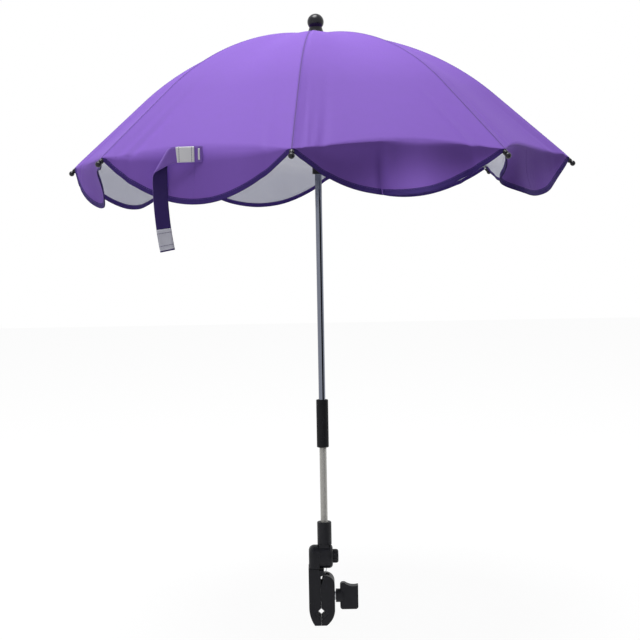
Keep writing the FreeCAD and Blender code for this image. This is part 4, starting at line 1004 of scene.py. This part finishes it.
def strap_point(along, across, lift):
    """Points of the strap after its soft backward fold, by length, width and height over its middle layer."""
    cloth = bpy.context.scene.parasol_cloth
    along, across, lift = np.broadcast_arrays(along, across, lift)
    left, up = strap_flat(along, across)
    fold_left, fold_up = (float(item) for item in strap_flat(np.array(cloth.strap_fold), np.array(0.0)))
    beyond = (left - fold_left) * STRAP_PAST[0] + (up - fold_up) * STRAP_PAST[1]
    beside = (left - fold_left) * STRAP_CREASE[0] + (up - fold_up) * STRAP_CREASE[1]
    radius = cloth.strap_roll
    turn = np.clip(beyond / radius, 0.0, math.pi)
    returned = np.where(turn >= math.pi, beyond - math.pi * radius, 0.0)
    flat = np.where(beyond < 0.0, beyond, 0.0) - returned + (radius + lift) * np.sin(turn)
    depth = (radius + lift) * np.cos(turn) - radius
    left = fold_left + STRAP_CREASE[0] * beside + STRAP_PAST[0] * flat
    up = fold_up + STRAP_CREASE[1] * beside + STRAP_PAST[1] * flat
    bearing = bearing_at(2 * STRAP_GORE + 1)
    outward = np.array([math.cos(bearing), math.sin(bearing), 0.0])
    leftward = np.array([math.sin(bearing), -math.cos(bearing), 0.0])
    lean = cloth.strap_lean
    run = leftward * math.cos(lean) + outward * math.sin(lean)
    face = outward * math.cos(lean) - leftward * math.sin(lean)
    seat = gore_point(STRAP_GORE, np.array(1.0), np.array(STRAP_SEAT))
    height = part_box("tie_strap")[1][2] - cloth.strap_width / 2 + STRAP_RISE
    origin = np.array([seat[0], seat[1], height]) + outward * STRAP_GAP - run * cloth.strap_tail
    rise = up[..., None] * np.array([0.0, 0.0, 1.0])
    return origin + left[..., None] * run + depth[..., None] * face + rise


def strap_loop(width, thick):
    """Cross section of the webbing, front face first, with rounded edges."""
    edge = thick * EDGE_SHARE
    flat = np.linspace(width / 2 - edge, edge - width / 2, FACE_POINTS)
    front = [(across, thick / 2) for across in flat]
    back = [(across, -thick / 2) for across in flat[::-1]]
    return front + [(-width / 2, 0.0)] + back + [(width / 2, 0.0)]


def strap_layer(name, rows, width, thick, side, finishes):
    """Make one layer along the strap, closed at both ends: side is 0 for the webbing itself, 1 for a layer on
    its front and -1 for one on its back. The first finish is the front's and the last one the back's."""
    across, lift = np.array(strap_loop(width, thick)).T
    lift = lift + side * (STRAP_THICKNESS + thick) / 2
    points = strap_point(rows[:, None], across[None, :], lift[None, :]).reshape(-1, 3)
    count = len(across)
    faces, slots = [], []
    for first in range(0, (len(rows) - 1) * count, count):
        for item in range(count):
            after = (item + 1) % count
            faces.append((first + item, first + count + item, first + count + after, first + after))
            slots.append(len(finishes) - 1 if item >= count // 2 else 0)
    ends = [tuple(range(count)), tuple(range((len(rows) - 1) * count, len(rows) * count))[::-1]]
    mesh = bpy.data.meshes.new(name)
    mesh.from_pydata(points.tolist(), [], faces + ends)
    for finish in finishes:
        mesh.materials.append(finish_named(finish))
    mesh.polygons.foreach_set("material_index", slots + [0, 0])
    mesh.polygons.foreach_set("use_smooth", [True] * len(faces) + [False, False])
    layer = mesh.uv_layers.new(name="Flat")
    for corner in mesh.loops:
        row, item = divmod(corner.vertex_index, count)
        layer.data[corner.index].uv = (across[item], rows[row])
    build = bmesh.new()
    build.from_mesh(mesh)
    bmesh.ops.recalc_face_normals(build, faces=build.faces)
    build.to_mesh(mesh)
    build.free()
    return add_piece(name, mesh)


class PARASOL_OT_strap(bpy.types.Operator):
    """Make the tie strap with its two hook-and-loop patches"""
    bl_idname = "parasol.strap"
    bl_label = "Tie strap"

    def execute(self, context):
        cloth = context.scene.parasol_cloth
        width, total = cloth.strap_width, cloth.strap_length
        strap = strap_layer("tie_strap_webbing", np.linspace(0.0, total, STRAP_ROWS), width, STRAP_THICKNESS,
                            0.0, ["Strap face", "Webbing"])
        near = np.linspace(*NEAR_PATCH, PATCH_ROWS)
        far = np.linspace(*(total - place for place in FAR_PATCH), PATCH_ROWS)
        wide = width - PATCH_INSET
        patches = [
            strap_layer("strap_patch_near", near, wide, PATCH_THICKNESS, 1.0, ["Hook patch"]),
            strap_layer("strap_patch_far", far, wide, PATCH_THICKNESS, -1.0, ["Loop patch"]),
            strap_layer("strap_tack", np.linspace(*TACK_RUN), width * TACK_WIDTH,
                        PATCH_THICKNESS * TACK_THICKNESS, 1.0, ["Hook patch"]),
        ]
        stitches = grown("strap_stitching", path_mesh("strap_paths", self.seams(width, total)), stitch_tree(),
                         Thread=finish_named("Dark thread"), **PATCH_STITCHES)
        for piece in (strap, stitches):
            sew_on(piece, STRAP_RIB)
        for piece in patches:
            sew_on(piece, STRAP_RIB)
        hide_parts("tie_strap")
        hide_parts("strap_patches")
        return {"FINISHED"}

    @staticmethod
    def seams(width, total):
        """Paths of the stitches across both patches, on their outer faces."""
        wide = np.linspace(*PATCH_SEAM) * width
        lift = STRAP_THICKNESS / 2 + PATCH_THICKNESS
        places = [(place, lift) for place in NEAR_SEAMS] + [(total - place, -lift) for place in FAR_SEAMS]
        return [strap_point(np.full_like(wide, place), wide, np.full_like(wide, over))
                for place, over in places]


# Gooseneck

HOSE_SIDES = 40
HOSE_STEPS = 800
HOSE_ROUNDNESS = 0.6
HOSE_WELD = 0.000005


class PARASOL_OT_gooseneck(bpy.types.Operator):
    """Wind the ribbed steel hose of the gooseneck"""
    bl_idname = "parasol.gooseneck"
    bl_label = "Gooseneck"

    def execute(self, context):
        hardware = context.scene.parasol_hardware
        low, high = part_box("gooseneck")
        piece = grown("gooseneck_hose", bpy.data.meshes.new("hose_start"), self.hose_tree(),
                      Radius=hardware.hose_radius, Ridge=hardware.hose_ridge, Pitch=hardware.hose_pitch,
                      Bottom=low[2], Length=high[2] - low[2], Aside=POLE_X, Steel=finish_named("Hose steel"))
        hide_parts("gooseneck")
        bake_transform(piece)
        return {"FINISHED"}

    @staticmethod
    def hose_tree():
        """Geometry nodes: a tube whose wall follows one wound ridge."""
        sizes = ("Radius", "Ridge", "Pitch", "Bottom", "Length", "Aside")
        tree, source, sink = new_group(
            "Wound hose", "GeometryNodeTree",
            [("Geometry", GEOMETRY, None), *((size, FLOAT, None) for size in sizes),
             ("Steel", MATERIAL, None)],
            [("Geometry", GEOMETRY)])
        given = source.outputs
        do = partial(maths, tree)
        sheet = wire(tree, "GeometryNodeMeshGrid", {
            "Size X": 1.0, "Size Y": 1.0, "Vertices X": HOSE_SIDES + 1, "Vertices Y": HOSE_STEPS + 1})
        position = wire(tree, "GeometryNodeInputPosition")
        place = wire(tree, "ShaderNodeSeparateXYZ", {"Vector": position.outputs["Position"]})
        turn = do("MULTIPLY", do("ADD", place.outputs["X"], 0.5), 2 * math.pi)
        rise = do("MULTIPLY", do("ADD", place.outputs["Y"], 0.5), given["Length"])
        winds = do("MULTIPLY", do("DIVIDE", rise, given["Pitch"]), 2 * math.pi)
        phase = do("COSINE", do("SUBTRACT", winds, turn))
        round_top = do("POWER", do("MULTIPLY", do("ADD", phase, 1.0), 0.5), HOSE_ROUNDNESS)
        dip = do("MULTIPLY", do("SUBTRACT", 1.0, round_top), given["Ridge"])
        radius = do("SUBTRACT", given["Radius"], dip)
        spot = wire(tree, "ShaderNodeCombineXYZ", {
            "X": do("ADD", do("MULTIPLY", do("COSINE", turn), radius), given["Aside"]),
            "Y": do("MULTIPLY", do("SINE", turn), radius),
            "Z": do("ADD", rise, given["Bottom"])})
        bent = wire(tree, "GeometryNodeSetPosition", {"Geometry": sheet.outputs["Mesh"],
                                                      "Position": spot.outputs["Vector"]})
        closed = wire(tree, "GeometryNodeMergeByDistance", {"Geometry": bent.outputs["Geometry"],
                                                            "Distance": HOSE_WELD})
        smooth = wire(tree, "GeometryNodeSetShadeSmooth", {"Geometry": closed.outputs["Geometry"]})
        end_tree(tree, sink, smooth.outputs["Geometry"], given["Steel"])
        return tree


# Rigid pieces

RIGID_FINISHES = {
    "Glossy black plastic": ["finial", "rib_tip_*"],
    "Moulded black plastic": ["clamp_body", "clamp_jaw", "clamp_knob", "knuckle_base", "tilt_knob",
                              "tilt_socket", "crown", "runner"],
    "Black rubber": ["joint_sleeve"],
    "Pad rubber": ["clamp_body_pad", "clamp_jaw_pad"],
    "Chrome": ["shaft_tube"],
    "Blackened steel": ["jaw_hinge_pin"],
    "Plated steel": ["captive_nut", "jaw_spring", "clamp_washer", "clamp_stud", "base_pin", "tilt_bolt",
                     "open_catch", "crown_ring", "runner_ring", "rib_[0-9]", "stretcher_*"],
}


class PARASOL_OT_finishes(bpy.types.Operator):
    """Give every rigid piece its moulded, plated or rubber finish"""
    bl_idname = "parasol.finishes"
    bl_label = "Rigid finishes"

    def execute(self, context):
        for finish, patterns in RIGID_FINISHES.items():
            for name, node in NODES.items():
                if any(fnmatchcase(name, pattern) for pattern in patterns):
                    node.data.materials.clear()
                    node.data.materials.append(finish_named(finish))
        return {"FINISHED"}


# Stage

SENSOR = 36.0
# Place, target and size of each lamp
LAMPS = {
    "Key": ((-0.38, -0.25, 3.4), (0.0, 0.0, 0.7), 1.8),
    "Fill": ((-1.6, -1.9, 1.0), (0.0, 0.0, 0.4), 1.2),
}
WHITE = (1.0, 1.0, 1.0, 1.0)
FLOOR_COLOUR = (0.85, 0.85, 0.86, 1.0)
FLOOR_REACH = 6.0
FLOOR_GAP = 0.0005
FLOOR_WHITE = 1.06
FLOOR_SHARE = 0.9
CARD_FOOT = ((0.3, -1.25), (1.2, -0.4))
CARD_HEIGHT = 0.7
CARD_COLOUR = "202024"
CARD_ROUGHNESS = 0.9


class PARASOL_OT_stage(bpy.types.Operator):
    """Set the camera, the lamps, the floor and the background"""
    bl_idname = "parasol.stage"
    bl_label = "Stage"

    def execute(self, context):
        stage = context.scene.parasol_stage
        data = bpy.data.cameras.new("Camera")
        data.sensor_width = SENSOR
        data.lens = stage.lens
        camera = add_piece("Camera", data)
        turn = Matrix.Rotation(math.pi / 2 - stage.pitch, 4, "X") @ Matrix.Rotation(stage.roll, 4, "Z")
        camera.matrix_world = Matrix.Translation((stage.aside, -stage.distance, stage.height)) @ turn
        context.scene.camera = camera
        context.scene.view_settings.view_transform = "Standard"
        for name, power in (("Key", stage.key), ("Fill", stage.fill)):
            self.lamp(name, power, *LAMPS[name])
        context.scene.world = self.world(stage.ambient)
        self.floor()
        self.card()
        return {"FINISHED"}

    @staticmethod
    def lamp(name, power, place, target, size):
        """Hang a round soft lamp that looks at a target."""
        data = bpy.data.lights.new(name, "AREA")
        data.energy = power
        data.shape = "DISK"
        data.size = size
        lamp = add_piece(name, data)
        lamp.location = place
        lamp.rotation_euler = (Vector(target) - Vector(place)).to_track_quat("-Z", "Y").to_euler()

    @staticmethod
    def seen(tree):
        """One where the camera, a reflection or a ray through glass looks straight at the surface."""
        ray = wire(tree, "ShaderNodeLightPath")
        straight = maths(tree, "ADD", ray.outputs["Is Camera Ray"], ray.outputs["Is Glossy Ray"])
        total = maths(tree, "ADD", straight, ray.outputs["Is Transmission Ray"])
        return maths(tree, "MINIMUM", total, 1.0)

    def world(self, ambient):
        """Make a sky that is white to look at and lights the object softly."""
        world = bpy.data.worlds.new("Studio")
        world.use_nodes = True
        tree = world.node_tree
        tree.nodes.clear()
        soft = wire(tree, "ShaderNodeBackground", {"Color": WHITE, "Strength": ambient})
        white = wire(tree, "ShaderNodeBackground", {"Color": WHITE, "Strength": 1.0})
        mix = wire(tree, "ShaderNodeMixShader", {0: self.seen(tree), 1: soft.outputs[0], 2: white.outputs[0]})
        wire(tree, "ShaderNodeOutputWorld", {"Surface": mix.outputs[0]}, is_active_output=True)
        return world

    def floor(self):
        """Lay a pale floor that keeps a part of the object's shadow."""
        low = CAD_BOX[0][2] - FLOOR_GAP
        corners = ((-1, -1), (1, -1), (1, 1), (-1, 1))
        mesh = bpy.data.meshes.new("floor")
        mesh.from_pydata([(x * FLOOR_REACH, y * FLOOR_REACH, low) for x, y in corners], [], [(0, 1, 2, 3)])
        material = bpy.data.materials.new("Pale floor")
        material.use_nodes = True
        tree = material.node_tree
        tree.nodes.clear()
        pale = wire(tree, "ShaderNodeBsdfDiffuse", {"Color": FLOOR_COLOUR})
        white = wire(tree, "ShaderNodeEmission", {"Color": WHITE, "Strength": FLOOR_WHITE})
        share = maths(tree, "MULTIPLY", self.seen(tree), FLOOR_SHARE)
        mix = wire(tree, "ShaderNodeMixShader", {0: share, 1: pale.outputs[0], 2: white.outputs[0]})
        wire(tree, "ShaderNodeOutputMaterial", {"Surface": mix.outputs[0]})
        mesh.materials.append(material)
        add_piece("floor", mesh)

    @staticmethod
    def card():
        """Stand a dark card beside the object, out of the camera's sight, for the metal to mirror."""
        foot = [(*corner, 0.0) for corner in CARD_FOOT]
        top = [(*corner, CARD_HEIGHT) for corner in CARD_FOOT[::-1]]
        mesh = bpy.data.meshes.new("dark_card")
        mesh.from_pydata(foot + top, [], [(3, 2, 1, 0)])
        material, _, _ = start_material("Dark card", linear(CARD_COLOUR), roughness=CARD_ROUGHNESS)
        mesh.materials.append(material)
        card = add_piece("dark_card", mesh)
        card.visible_camera = False


# Add-on

SETTINGS = {"parasol_cloth": ParasolCloth, "parasol_hardware": ParasolHardware, "parasol_stage": ParasolStage}
OPERATORS = [PARASOL_OT_stage, PARASOL_OT_canopy, PARASOL_OT_binding, PARASOL_OT_stitching, PARASOL_OT_strap,
             PARASOL_OT_gooseneck, PARASOL_OT_finishes]


class PARASOL_PT_panel(bpy.types.Panel):
    """Lists the parasol's operators and settings"""
    bl_idname = "PARASOL_PT_panel"
    bl_label = "Pram parasol"
    bl_space_type = "VIEW_3D"
    bl_region_type = "UI"
    bl_category = "Parasol"

    def draw(self, context):
        for operator in OPERATORS:
            self.layout.operator(operator.bl_idname)
        for name, group in SETTINGS.items():
            box = self.layout.box()
            for setting in group.__annotations__:
                box.prop(getattr(context.scene, name), setting)


CLASSES = [*SETTINGS.values(), *OPERATORS, PARASOL_PT_panel]


def register():
    for item in CLASSES:
        bpy.utils.register_class(item)
    for name, group in SETTINGS.items():
        setattr(bpy.types.Scene, name, bpy.props.PointerProperty(type=group))


def unregister():
    for name in SETTINGS:
        delattr(bpy.types.Scene, name)
    for item in reversed(CLASSES):
        bpy.utils.unregister_class(item)


def main():
    register()
    bpy.ops.parasol.stage()
    bpy.ops.parasol.canopy()
    bpy.ops.parasol.binding()
    bpy.ops.parasol.stitching()
    bpy.ops.parasol.strap()
    bpy.ops.parasol.gooseneck()
    bpy.ops.parasol.finishes()


if __name__ == "__main__":
    main()
